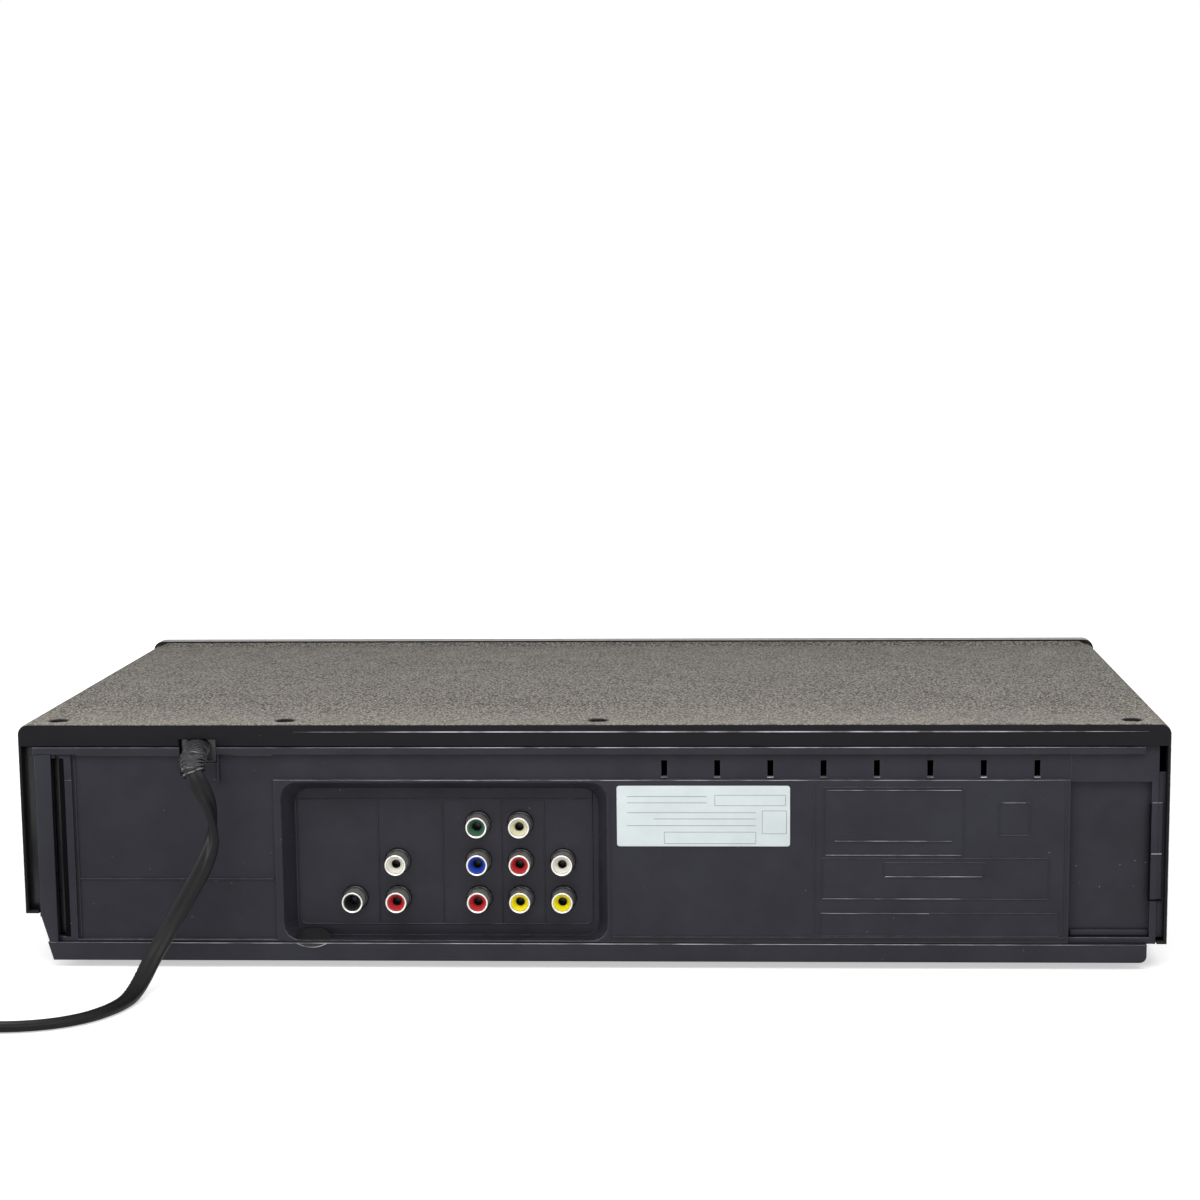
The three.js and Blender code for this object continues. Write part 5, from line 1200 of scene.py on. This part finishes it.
@dataclass
class MainsCord:
    """The flat mains lead from its boot to its plug, with the tie that holds its coil.

    Each row of the run and of the tail is a place, the heading of the lead's wide side in degrees, and
    how far that side is lifted.
    """

    width: float = 6.8
    thickness: float = 3.4
    sides: int = 32
    coil_x: float = 262.0
    coil_y: float = 244.0
    coil_radius: float = 41.0
    coil_pitch: float = 5.8
    coil_turns: float = 2.75
    layer_rise: float = 7.5
    climb_turns: float = 0.25
    rib_pitch: float = 2.0
    rib_depth: float = 0.3
    run: tuple[tuple[float, ...], ...] = (
        (148.6, 123.6, 83.5, 0, 0), (148.5, 125.5, 83, 0, 0), (148.1, 128.1, 81.6, 0, 0),
        (147.3, 130.3, 79.4, 0, 0), (145.7, 131.7, 76.3, 10, 0), (143.6, 132, 72.2, 30, 0),
        (141.7, 132, 67.7, 60, 0), (140.6, 132, 62.7, 85, 0), (140.4, 132, 57.7, 110, 0),
        (141.2, 132.5, 51.7, 145, 0), (144.2, 134, 43.6, 172, 0), (148.5, 136.5, 35.4, 180, 0),
        (153, 139.5, 27.3, 180, 0), (157.3, 143.5, 19.5, 180, 0), (161.1, 149, 12.1, 180, 0),
        (163.4, 156, 6.3, 178, 0), (165, 163, 3, 172, 0), (166.4, 171, 1.9, 166, 0),
        (169.5, 181, 1.8, 154, 0), (175.5, 191, 1.8, 138, 0), (185, 198.5, 1.8, 116, 0),
        (197, 202.4, 1.8, 98, 0), (210, 203, 1.8, 90, 0), (224, 203, 1.8, 90, 0), (236, 203, 2.7, 90, 30),
        (247, 203, 3.4, 90, 75), (254.6, 203, 3.45, 90, 90),
    )
    tail: tuple[tuple[float, ...], ...] = (
        (254.7, 285, 10.95, 90, 90), (246, 285, 10, 90, 60), (238, 285, 7.6, 90, 25),
        (232.2, 285, 6.5, 90, 0), (225.4, 285, 6.5, 90, 0),
    )
    plug_end: float = 225.1
    plug_y: float = 285.0
    plug_z: float = 6.5
    stations: tuple[tuple[float, float, float], ...] = (
        (0.0, 4.2, 2.6), (2.0, 5.2, 3.4), (5.0, 6.4, 4.6), (9.0, 9.0, 5.6), (13.0, 11.4, 6.2),
        (22.0, 12.0, 6.45), (27.0, 12.0, 6.45), (28.0, 11.4, 5.9),
    )
    grips: tuple[float, ...] = (15.5, 18.0, 20.5)
    blade_half: float = 6.35

    def wides(self, route: np.ndarray) -> np.ndarray:
        """Wide directions from headings and lifts in degrees."""
        heading, lift = np.radians(route[:, 3]), np.radians(route[:, 4])
        return np.stack([np.cos(heading) * np.cos(lift), np.sin(heading) * np.cos(lift), np.sin(lift)], -1)

    def coil(self) -> tuple[np.ndarray, np.ndarray]:
        """The coil's places and wide directions.

        The radius falls by the pitch each turn up to the middle and grows again above it, and the height
        changes layers along a smooth step about the middle.

        Returns:
            The places and the wide directions.
        """
        turn = np.linspace(0, 2 * self.coil_turns, 265)
        from_middle = turn - self.coil_turns
        radius = self.coil_radius - self.coil_pitch * (self.coil_turns - np.abs(from_middle))
        step = np.clip((from_middle + self.climb_turns) / (2 * self.climb_turns), 0, 1)
        height = self.width / 2 + 0.05 + self.layer_rise * step**2 * (3 - 2 * step)
        angle = 2 * np.pi * turn - np.pi / 2
        x, y = self.coil_x + radius * np.cos(angle), self.coil_y + radius * np.sin(angle)
        return np.stack([x, y, height], -1), np.tile([0.0, 0.0, 1.0], (len(turn), 1))

    def smoothed(self, values: np.ndarray, parts: int) -> np.ndarray:
        """Catmull-Rom through the rows: each span is a cubic of its four nearest rows.

        Args:
            values: the rows.
            parts: steps in each span.

        Returns:
            The rows of the smooth curve.
        """
        padded = np.concatenate([2 * values[:1] - values[1:2], values, 2 * values[-1:] - values[-2:-1]])
        a, b, c, d = (padded[i:len(padded) - 3 + i, None, :] for i in range(4))
        t = (np.arange(parts) / parts)[None, :, None]
        square, cube = 2 * a - 5 * b + 4 * c - d, 3 * b - 3 * c + d - a
        curve = 0.5 * (2 * b + (c - a) * t + square * t**2 + cube * t**3)
        return np.concatenate([curve.reshape(-1, values.shape[1]), values[-1:]])

    def section(self) -> np.ndarray:
        """Two round cores side by side, joined by a web.

        The outline is an ellipse with squared-off sides, thickness / 2 squared(cos a) by width / 2 sin a,
        whose flat sides are drawn in by a narrow bell curve where the cores meet.

        Returns:
            The outline's points by (thin, wide) coordinates.
        """
        angle = np.linspace(0, 2 * np.pi, self.sides, endpoint=False)
        thin = self.thickness / 2 * squared(np.cos(angle))
        wide = self.width / 2 * np.sin(angle)
        groove = np.exp(-(wide / 0.75) ** 2)
        return np.stack([thin * (1 - 0.24 * groove), wide], -1)

    def ribbed(self, lead: Surface, path: np.ndarray) -> Surface:
        """Presses fine ribs into the outer edge of the core that is marked by them.

        A point moves towards the path by depth * bell(angle) * (1 + sin(2 pi s / pitch)) / 2, where s is its
        distance along the path and the bell curve is centred on that core's edge.

        Args:
            lead: the tube, whose points are changed in place.
            path: the places that it follows.

        Returns:
            The ribbed tube.
        """
        along = np.concatenate([[0], np.cumsum(np.linalg.norm(np.diff(path, axis=0), axis=1))])
        angle = np.linspace(0, 360, self.sides, endpoint=False)
        bell = np.exp(-((angle - 270) / 28) ** 2)
        wave = 0.5 + 0.5 * np.sin(2 * np.pi * along / self.rib_pitch)
        share = self.rib_depth / self.width * 2 * bell[None, :, None] * wave[:, None, None]
        rings = lead.points.reshape(len(path), self.sides, 3)
        rings += (path[:, None] - rings) * share
        return lead

    def make_lead(self) -> tuple[bpy.types.Object, np.ndarray]:
        """Makes the whole lead as one tube.

        Returns:
            The lead and the points that it follows.
        """
        run, tail = np.array(self.run, float), np.array(self.tail, float)
        coil, coil_wides = self.coil()
        path = np.concatenate([self.smoothed(run[:, :3], 12)[:-1], coil, self.smoothed(tail[:, :3], 8)[1:]])
        wides = np.concatenate([self.smoothed(self.wides(run), 12)[:-1], coil_wides,
                                self.smoothed(self.wides(tail), 8)[1:]])
        tube = self.ribbed(carried(self.section(), path, wides), path)
        lead = piece("mains_lead", [tube], [Palette.VINYL], ("cord_run", "cord_coil", "cord_tail"),
                     sharp=50)
        return lead, path

    def make_boot(self) -> None:
        """Makes the strain relief: a plate, a keeper and a boot whose radius waves along its ribs.

        The radius falls from 5.3 by 1 over the boot's length, and by 0.75 more between its seven ribs.
        """
        x, low = 148.7, CASE.sheet - 2
        wall = plate(rounded(x - 6.7, x + 6.7, 79.9, 89.6, 0.8, 3), low, CASE.sheet, high_edge=0.3)
        keeper = plate(rounded(x - 8.4, x + 8.4, 79.9, 89.6, 0.6, 3), low - 1.5, low)
        along = np.linspace(0, 1, 97)
        ribs = 0.5 + 0.5 * np.tanh(5 * np.sin(2 * np.pi * 7 * along))
        radius = 5.3 - 1.0 * along - 0.75 * (1 - ribs)
        rows = [(0, -3.0), (4.8, -3.0), *zip(radius, 8.4 * along), (3.4, 8.8), (0, 8.8)]
        boot = turned(rows, (0, 0), Facing.DEPTH, 48, flatten=0.74)
        tip, ahead = np.array(self.run[0][:3]), np.array(self.run[1][:3])
        heading = Vector(ahead - tip).normalized()
        turn = Vector((0, 1, 0)).rotation_difference(heading).to_matrix()
        moved(boot, turn, tip - np.array(heading) * 7.8)
        piece("cord_boot", [wall, keeper, boot, self.make_sleeve()], [Palette.BOOT], ("cord_strain_relief",),
              sharp=40)

    def make_sleeve(self) -> Surface:
        """Carries the boot on along the lead as a thin sleeve that tapers onto it.

        Its section is the lead's, larger by 1.12 + 0.2 (1 - s) + 0.15 rib, where s runs from 0 at the boot to
        1 at its tip and the ribs are a squared-off sine.

        Returns:
            The closed sleeve.
        """
        run = np.array(self.run[:10], float)
        path, wides = self.smoothed(run[:, :3], 30)[:101], self.smoothed(self.wides(run), 30)[:101]
        share = np.linspace(0, 1, len(path))
        grow = 1.12 + 0.2 * (1 - share) + 0.15 * np.tanh(4 * np.sin(2 * np.pi * 6.5 * share))
        sleeve = carried(self.section(), path, wides)
        rings = sleeve.points.reshape(len(path), self.sides, 3)
        sleeve.points = (path[:, None] + (rings - path[:, None]) * grow[:, None, None]).reshape(-1, 3)
        return sleeve

    def make_plug(self) -> bpy.types.Object:
        """Makes the plug: a body lofted from the lead's neck to its face, grip ribs and two blades.

        A station at distance d from the lead's end has half width w and half height h, and its ring is
        (w squared(cos a), h squared(sin a)) about the plug's middle.

        Returns:
            The plug.
        """
        end, y, z = self.plug_end, self.plug_y, self.plug_z
        far, half_width, half_height = np.array(self.stations).T[:, :, None]
        angle = np.linspace(0, 2 * np.pi, 36, endpoint=False)
        across, up = half_width * squared(np.cos(angle)), half_height * squared(np.sin(angle))
        body = lofted(np.stack(np.broadcast_arrays(end - far, y + across, z + up), -1))
        grips = [plate(rounded(y - 9, y + 9, z - 6.45, z + 6.45, 3, 4), end - at - 0.8, end - at, Facing.SIDE,
                       0.3, 0.3) for at in self.grips]
        blades = [plate(rounded(y + middle - 0.75, y + middle + 0.75, z - 3.15, z + 3.15, 0.3, 2), end - 44,
                        end - 26, Facing.SIDE, 0.4, 0.0, 1) for middle in (self.blade_half, -self.blade_half)]
        return piece("mains_plug", [body, *grips, *blades], [Palette.VINYL, Palette.BRASS], ("cord_plug",),
                     sharp=40)

    def make_tie(self) -> bpy.types.Object:
        """Makes the soft tie round the coil: a flat strip carried round a rounded rectangle.

        Returns:
            The tie.
        """
        loop = rounded(self.coil_x + 22.6, self.coil_x + 43.6, 0.42, 15.0, 3.0, 5)
        outer = inset(loop, -0.35)
        rings = [placed(outline, self.coil_y + shift, Facing.DEPTH)
                 for shift, outline in ((-3.0, loop), (3.0, loop), (3.0, outer), (-3.0, outer))]
        strip = Surface(np.concatenate(rings), lattice(4, len(loop), True, True))
        return piece("coil_tie", [strip], [Palette.RUBBER])

    def build(self) -> None:
        lead, path = self.make_lead()
        self.make_boot()
        plug, tie = self.make_plug(), self.make_tie()


@dataclass
class FrontTrim:
    """The front's door, flap, display window, buttons, rings and moulded lines."""

    buttons: tuple[tuple[str, float, float], ...] = (
        ("power_button", 22.3, 69.5), ("cassette_eject_button", -62.0, 26.0),
        ("cassette_play_button", -40.0, 26.0), ("tray_open_button", 164.0, 39.0),
        ("disc_play_button", 186.0, 39.0),
    )
    flap_right: float = -200.6
    flap_left: float = -11.4
    flap_face: float = -115.2
    hinge: tuple[float, float] = (-111.9, 78.2)
    digits: tuple[float, ...] = (79.0, 89.0, 104.0, 114.0)
    dots: tuple[float, ...] = (36.0, 41.0)
    lamp: tuple[float, float] = (36.0, 69.5)
    digit_width: float = 6.5
    digit_height: float = 12.0
    digit_stroke: float = 1.1
    digit_face: float = -116.03
    digit_back: float = -115.9

    def make_door(self) -> None:
        """Makes the tray's front cover with soft edges and a finger line along its foot."""
        door = plate(rounded(56, 206, 60, 79, 1.0, 4), -115.6, -113.2, low_edge=0.6)
        line = plate(rounded(60, 202, 62.2, 62.8, 0.28, 2), -115.75, -115.4, low_edge=0.12, finish=1)
        piece("tray_cover", [door, line], [Palette.GLOSS, Palette.TRIM], ("tray_door",),
              Body.TRAY)

    def make_flap(self) -> None:
        """Makes the cassette flap: a gloss leaf with a finger line, and a lug and a pin at each top corner."""
        face, right, left = self.flap_face, self.flap_right, self.flap_left
        leaf = plate(rounded(right, left, 44.6, 79.6, 0.8, 4), face, face + 2.5, low_edge=0.5, high_edge=0.2)
        groove = rounded(-150.0, -62.0, 46.0, 46.9, 0.44, 3)
        line = plate(groove, face - 0.12, face + 0.1, low_edge=0.1, finish=1)
        ends, lug = [], rounded(-113.95, -110.7, 77.0, 79.4, 1.1, 4)
        for x, way in ((left, 1), (right, -1)):
            start, stop = sorted((x - way * 5.0, x))
            ends.append(plate(lug, start, stop, Facing.SIDE, 0.2, 0.2))
            pin = [(0, -2.5), (1.2, -2.5), (1.2, 1.9), (0.9, 2.2), (0, 2.2)]
            ends.append(turned([(r, x + way * out) for r, out in pin], self.hinge, Facing.SIDE, 24))
        piece("flap_leaf", [leaf, line, *ends], [Palette.GLOSS, Palette.TRIM], ("cassette_flap",),
              Body.FLAP)

    def digit(self, x: float, z: float) -> list[Surface]:
        """Seven dim segments that make one plain figure eight.

        Args:
            x: the figure's left edge, seen from the front.
            z: its foot.

        Returns:
            The segments, with a small gap between neighbours.
        """
        w, h, t, gap = self.digit_width, self.digit_height, self.digit_stroke, 0.12
        tall, upper = h / 2 - 1.5 * t, h / 2 + t / 2
        boxes = [(0, 0, w, t), (0, upper - t, w, t), (0, h - t, w, t), (0, t, t, tall), (w - t, t, t, tall),
                 (0, upper, t, tall), (w - t, upper, t, tall)]
        return [plate(rounded(x + a + gap, x + a + c - gap, z + b + gap, z + b + d - gap, 0.25, 2),
                      self.digit_face, self.digit_back, finish=1) for a, b, c, d in boxes]

    def make_window(self) -> None:
        """Makes the display window with a soft rim and the dim segments of its clock."""
        window = plate(rounded(60, 146, 28, 50, 1.2, 4), -116.0, -114.4, low_edge=0.35)
        digits = [part for x in self.digits for part in self.digit(x, 33.0)]
        dots = [plate(rounded(99.2, 100.4, z, z + 1.2, 0.3, 2), self.digit_face, self.digit_back, finish=1)
                for z in self.dots]
        piece("window_pane", [window, *digits, *dots], [Palette.WINDOW, Palette.SEGMENT], ("display_window",))

    def make_button(self, node: str, x: float, z: float) -> None:
        """Makes a button cap with rounded edges over its flange and stem.

        Args:
            node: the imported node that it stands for.
            x: its middle along the panel.
            z: its middle's height.
        """
        cap = plate(rounded(x - 6, x + 6, z - 3, z + 3, 1.2, 4), -116.0, -113.4, low_edge=0.55)
        dimple = plate(rounded(x - 3.2, x + 3.2, z - 0.35, z + 0.35, 0.34, 3), -116.08, -115.9, finish=1)
        flange = plate(rounded(x - 7.5, x + 7.5, z - 4.5, z + 4.5, 0.6, 2), -113.4, -112.4)
        stem = plate(rounded(x - 1.5, x + 1.5, z - 1.5, z + 1.5, 0.3, 2), -112.4, -104.9)
        piece(f"{node}_cap", [cap, dimple, flange, stem], [Palette.SATIN, Palette.TRIM], (node,),
              Body(f"{node}_cap"))

    def make_lines(self) -> None:
        """Makes the moulded lines, the rings of the front jacks and the standby lamp's lens."""
        face = CASE.front
        line = plate(rounded(-206, 206, 13.0, 13.9, 0.4, 2), face - 0.22, face + 0.3, low_edge=0.2, finish=1)
        ring = [(5.3, face + 0.2), (5.3, face - 0.05), (5.45, face - 0.15), (5.75, face - 0.15), (5.95, face),
                (5.95, face + 0.2), (5.3, face + 0.2)]
        rings = [turned(ring, (x, CASE.front_jack_z), Facing.DEPTH, 48, 1) for x in CASE.front_jacks]
        dome = [(0, face + 0.3), (1.3, face + 0.3), (1.3, face - 0.1), (0.9, face - 0.2), (0, face - 0.22)]
        lens = turned(dome, self.lamp, Facing.DEPTH, 24, 2)
        piece("front_lines", [line, *rings, lens], [Palette.SATIN, Palette.TRIM, Palette.LENS])

    def build(self) -> None:
        """Makes the door, the flap, the window, the five buttons and the lines."""
        self.make_door()
        self.make_flap()
        self.make_window()
        self.make_lines()
        for node, x, z in self.buttons:
            self.make_button(node, x, z)


@dataclass
class Feet:
    """The four rubber feet, each turned with a soft rim and a sunk middle."""

    x: float = 180.5
    y: float = 92.2
    profile: tuple[tuple[float, float], ...] = (
        (0, 3), (9, 3), (9, 0.8), (8.7, 0.25), (8.2, 0), (5.6, 0), (5.2, 0.5), (0, 0.5),
    )

    def build(self) -> None:
        """Makes the four feet."""
        for node, way_x, way_y in (("foot_front_right", -1, -1), ("foot_front_left", 1, -1),
                                   ("foot_rear_right", -1, 1), ("foot_rear_left", 1, 1)):
            foot = turned(self.profile, (way_x * self.x, way_y * self.y), Facing.UP, 48)
            piece(f"{node}_pad", [foot], [Palette.RUBBER], (node,))


@dataclass
class DressedNodes:
    """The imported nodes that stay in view, each with its finish."""

    finishes: tuple[tuple[str, Palette], ...] = (
        ("bottom_chassis", Palette.CASE), ("rear_panel", Palette.CASE), ("front_panel", Palette.PANEL),
        ("main_board", Palette.GREEN_BOARD), ("jack_board", Palette.TAN_BOARD),
        ("power_board", Palette.TAN_BOARD), ("front_board", Palette.TAN_BOARD),
        ("power_transformer", Palette.IRON), ("loader_frame", Palette.INNER), ("disc_tray", Palette.INNER),
        ("tray_pinion", Palette.WHITE), ("spindle_motor", Palette.SHEET_STEEL), ("turntable", Palette.GREY),
        ("pickup_sled", Palette.GREY), ("clamp_bridge", Palette.SHEET_STEEL), ("clamp_puck", Palette.WHITE),
        ("deck_chassis", Palette.SHEET_STEEL), ("head_drum", Palette.DRUM), ("capstan", Palette.SHEET_STEEL),
        ("pinch_roller_arm", Palette.RUBBER), ("supply_reel", Palette.WHITE), ("takeup_reel", Palette.WHITE),
        ("cassette_holder", Palette.SHEET_STEEL),
    )

    def build(self, nodes: dict[str, bpy.types.Object]) -> None:
        """Gives each node its finish.

        Args:
            nodes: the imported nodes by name.
        """
        for name, finish in self.finishes:
            node = nodes[name]
            node.data.materials.clear()
            node.data.materials.append(finish.material)
            LOG.info("dressed %s with %s", name, finish.value.name)


# ---------------------------------------------------------------------------------------------
# Stage
# ---------------------------------------------------------------------------------------------


@dataclass
class Stage:
    """The camera at the photograph's view, soft lamps, a white surround and a pale floor.

    Its places are in metres and its angles in degrees.
    """

    place: tuple[float, float, float] = (-0.0624, 1.0533, 0.2523)
    yaw: float = -2.45
    pitch: float = 8.9
    roll: float = -0.46
    lens: float = 76.0
    shift: tuple[float, float] = (-0.04, 0.08)
    fill: float = 0.42
    lamps: tuple[tuple[str, Colour, tuple[float, float], float], ...] = (
        ("key", (-0.08, 0.85, 1.05), (1.4, 0.7), 11.0), ("side", (1.3, 0.42, 0.45), (0.5, 0.7), 6.5),
        ("far", (-0.3, -1.1, 1.2), (1.4, 0.8), 3.5),
    )

    def make_camera(self) -> None:
        """Turns the camera by its yaw, pitch and roll from a view along -Y."""
        yaw, pitch, roll = (math.radians(a) for a in (self.yaw, self.pitch, self.roll))
        right, ahead, up = Vector((-1, 0, 0)), Vector((0, -1, 0)), Vector((0, 0, 1))
        level = ahead * math.cos(yaw) + right * math.sin(yaw)
        side = right * math.cos(yaw) - ahead * math.sin(yaw)
        look = level * math.cos(pitch) - up * math.sin(pitch)
        head = up * math.cos(pitch) + level * math.sin(pitch)
        across = side * math.cos(roll) + head * math.sin(roll)
        top = head * math.cos(roll) - side * math.sin(roll)
        data = bpy.data.cameras.new("camera")
        data.lens, data.sensor_width = self.lens, 36.0
        data.shift_x, data.shift_y = self.shift
        camera = bpy.data.objects.new("camera", data)
        camera.matrix_world = Matrix((across, top, -look)).transposed().to_4x4()
        camera.location = self.place
        bpy.context.scene.collection.objects.link(camera)
        bpy.context.scene.camera = camera

    def make_lamp(self, name: str, place: Colour, size: tuple[float, float], watts: float) -> None:
        """Makes a soft rectangular lamp that looks at the middle of the player.

        Args:
            name: name of the lamp.
            place: where it stands, in metres.
            size: its width and height, in metres.
            watts: its power.
        """
        data = bpy.data.lights.new(name, "AREA")
        data.shape, data.energy = "RECTANGLE", watts
        data.size, data.size_y = size
        lamp = bpy.data.objects.new(name, data)
        lamp.location = place
        lamp.rotation_euler = (Vector((0, 0, 0.05)) - Vector(place)).to_track_quat("-Z", "Y").to_euler()
        bpy.context.scene.collection.objects.link(lamp)

    def make_world(self) -> None:
        """Makes the surround white to the eye, in mirrors and through glass, and softer as a light."""
        world = bpy.data.worlds.new("surround")
        bpy.context.scene.world = world
        world.use_nodes = True
        tree = world.node_tree
        tree.nodes.clear()
        rays = tree.nodes.new("ShaderNodeLightPath")
        seen = rays.outputs["Is Camera Ray"]
        for kind in ("Is Transmission Ray", "Is Glossy Ray"):
            either = tree.nodes.new("ShaderNodeMath")
            either.operation = "MAXIMUM"
            tree.links.new(seen, either.inputs[0])
            tree.links.new(rays.outputs[kind], either.inputs[1])
            seen = either.outputs[0]
        strength = tree.nodes.new("ShaderNodeMapRange")
        strength.inputs["To Min"].default_value = self.fill
        strength.inputs["To Max"].default_value = 1.0
        tree.links.new(seen, strength.inputs["Value"])
        background = tree.nodes.new("ShaderNodeBackground")
        background.inputs["Color"].default_value = (1, 1, 1, 1)
        tree.links.new(strength.outputs[0], background.inputs["Strength"])
        output = tree.nodes.new("ShaderNodeOutputWorld")
        tree.links.new(background.outputs[0], output.inputs["Surface"])

    def make_floor(self) -> None:
        """Makes the pale floor, which reads white to the eye and keeps the player's shadow."""
        sheet = Sheet("floor paper")
        light = sheet.node("LightPath").outputs
        rays = sheet.joined(light["Is Camera Ray"], light["Is Transmission Ray"], "MAXIMUM")
        rays = sheet.joined(rays, light["Is Glossy Ray"], "MAXIMUM")
        clouds = sheet.ranged(sheet.noise(300.0), 0.3, 0.7, 0.0, 1.0)
        tone = sheet.mixed(clouds, (0.8, 0.8, 0.8), (0.82, 0.82, 0.82))
        paper = sheet.node("BsdfDiffuse", {"Color": tone})
        away = sheet.node("VectorMath", {0: sheet.place}, operation="LENGTH").outputs["Value"]
        strength = sheet.joined(rays, sheet.ranged(away, 0.4, 0.85, 0.52, 1.0), "MULTIPLY")
        glow = sheet.node("Emission", {"Color": (1, 1, 1, 1), "Strength": strength})
        both = sheet.node("AddShader", {0: paper.outputs[0], 1: glow.outputs[0]})
        sheet.node("OutputMaterial", {"Surface": both.outputs[0]})
        mesh = bpy.data.meshes.new("floor")
        reach = 6.0
        corners = [(-reach, -reach, 0), (reach, -reach, 0), (reach, reach, 0), (-reach, reach, 0)]
        mesh.from_pydata(corners, [], [(0, 1, 2, 3)])
        mesh.materials.append(sheet.material)
        floor = bpy.data.objects.new("floor", mesh)
        bpy.context.scene.collection.objects.link(floor)

    def build(self) -> None:
        """Sets up the view, the lamps, the surround and the floor."""
        bpy.context.scene.view_settings.view_transform = "Standard"
        self.make_camera()
        self.make_world()
        self.make_floor()
        for lamp in self.lamps:
            self.make_lamp(*lamp)


def main() -> None:
    """Builds the stage, then each sub-assembly in order."""
    logging.basicConfig(level=logging.INFO, format="%(name)s: %(message)s")
    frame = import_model()
    Stage().build()
    MainsCord().build()
    DressedNodes().build(frame["nodes"])
    for part in (Cover(), RearRelief(), RatingLabel(), Jacks(), FrontTrim(), Feet()):
        part.build()
        LOG.info("built %s", type(part).__name__)
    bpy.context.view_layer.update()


if __name__ == "__main__":
    main()
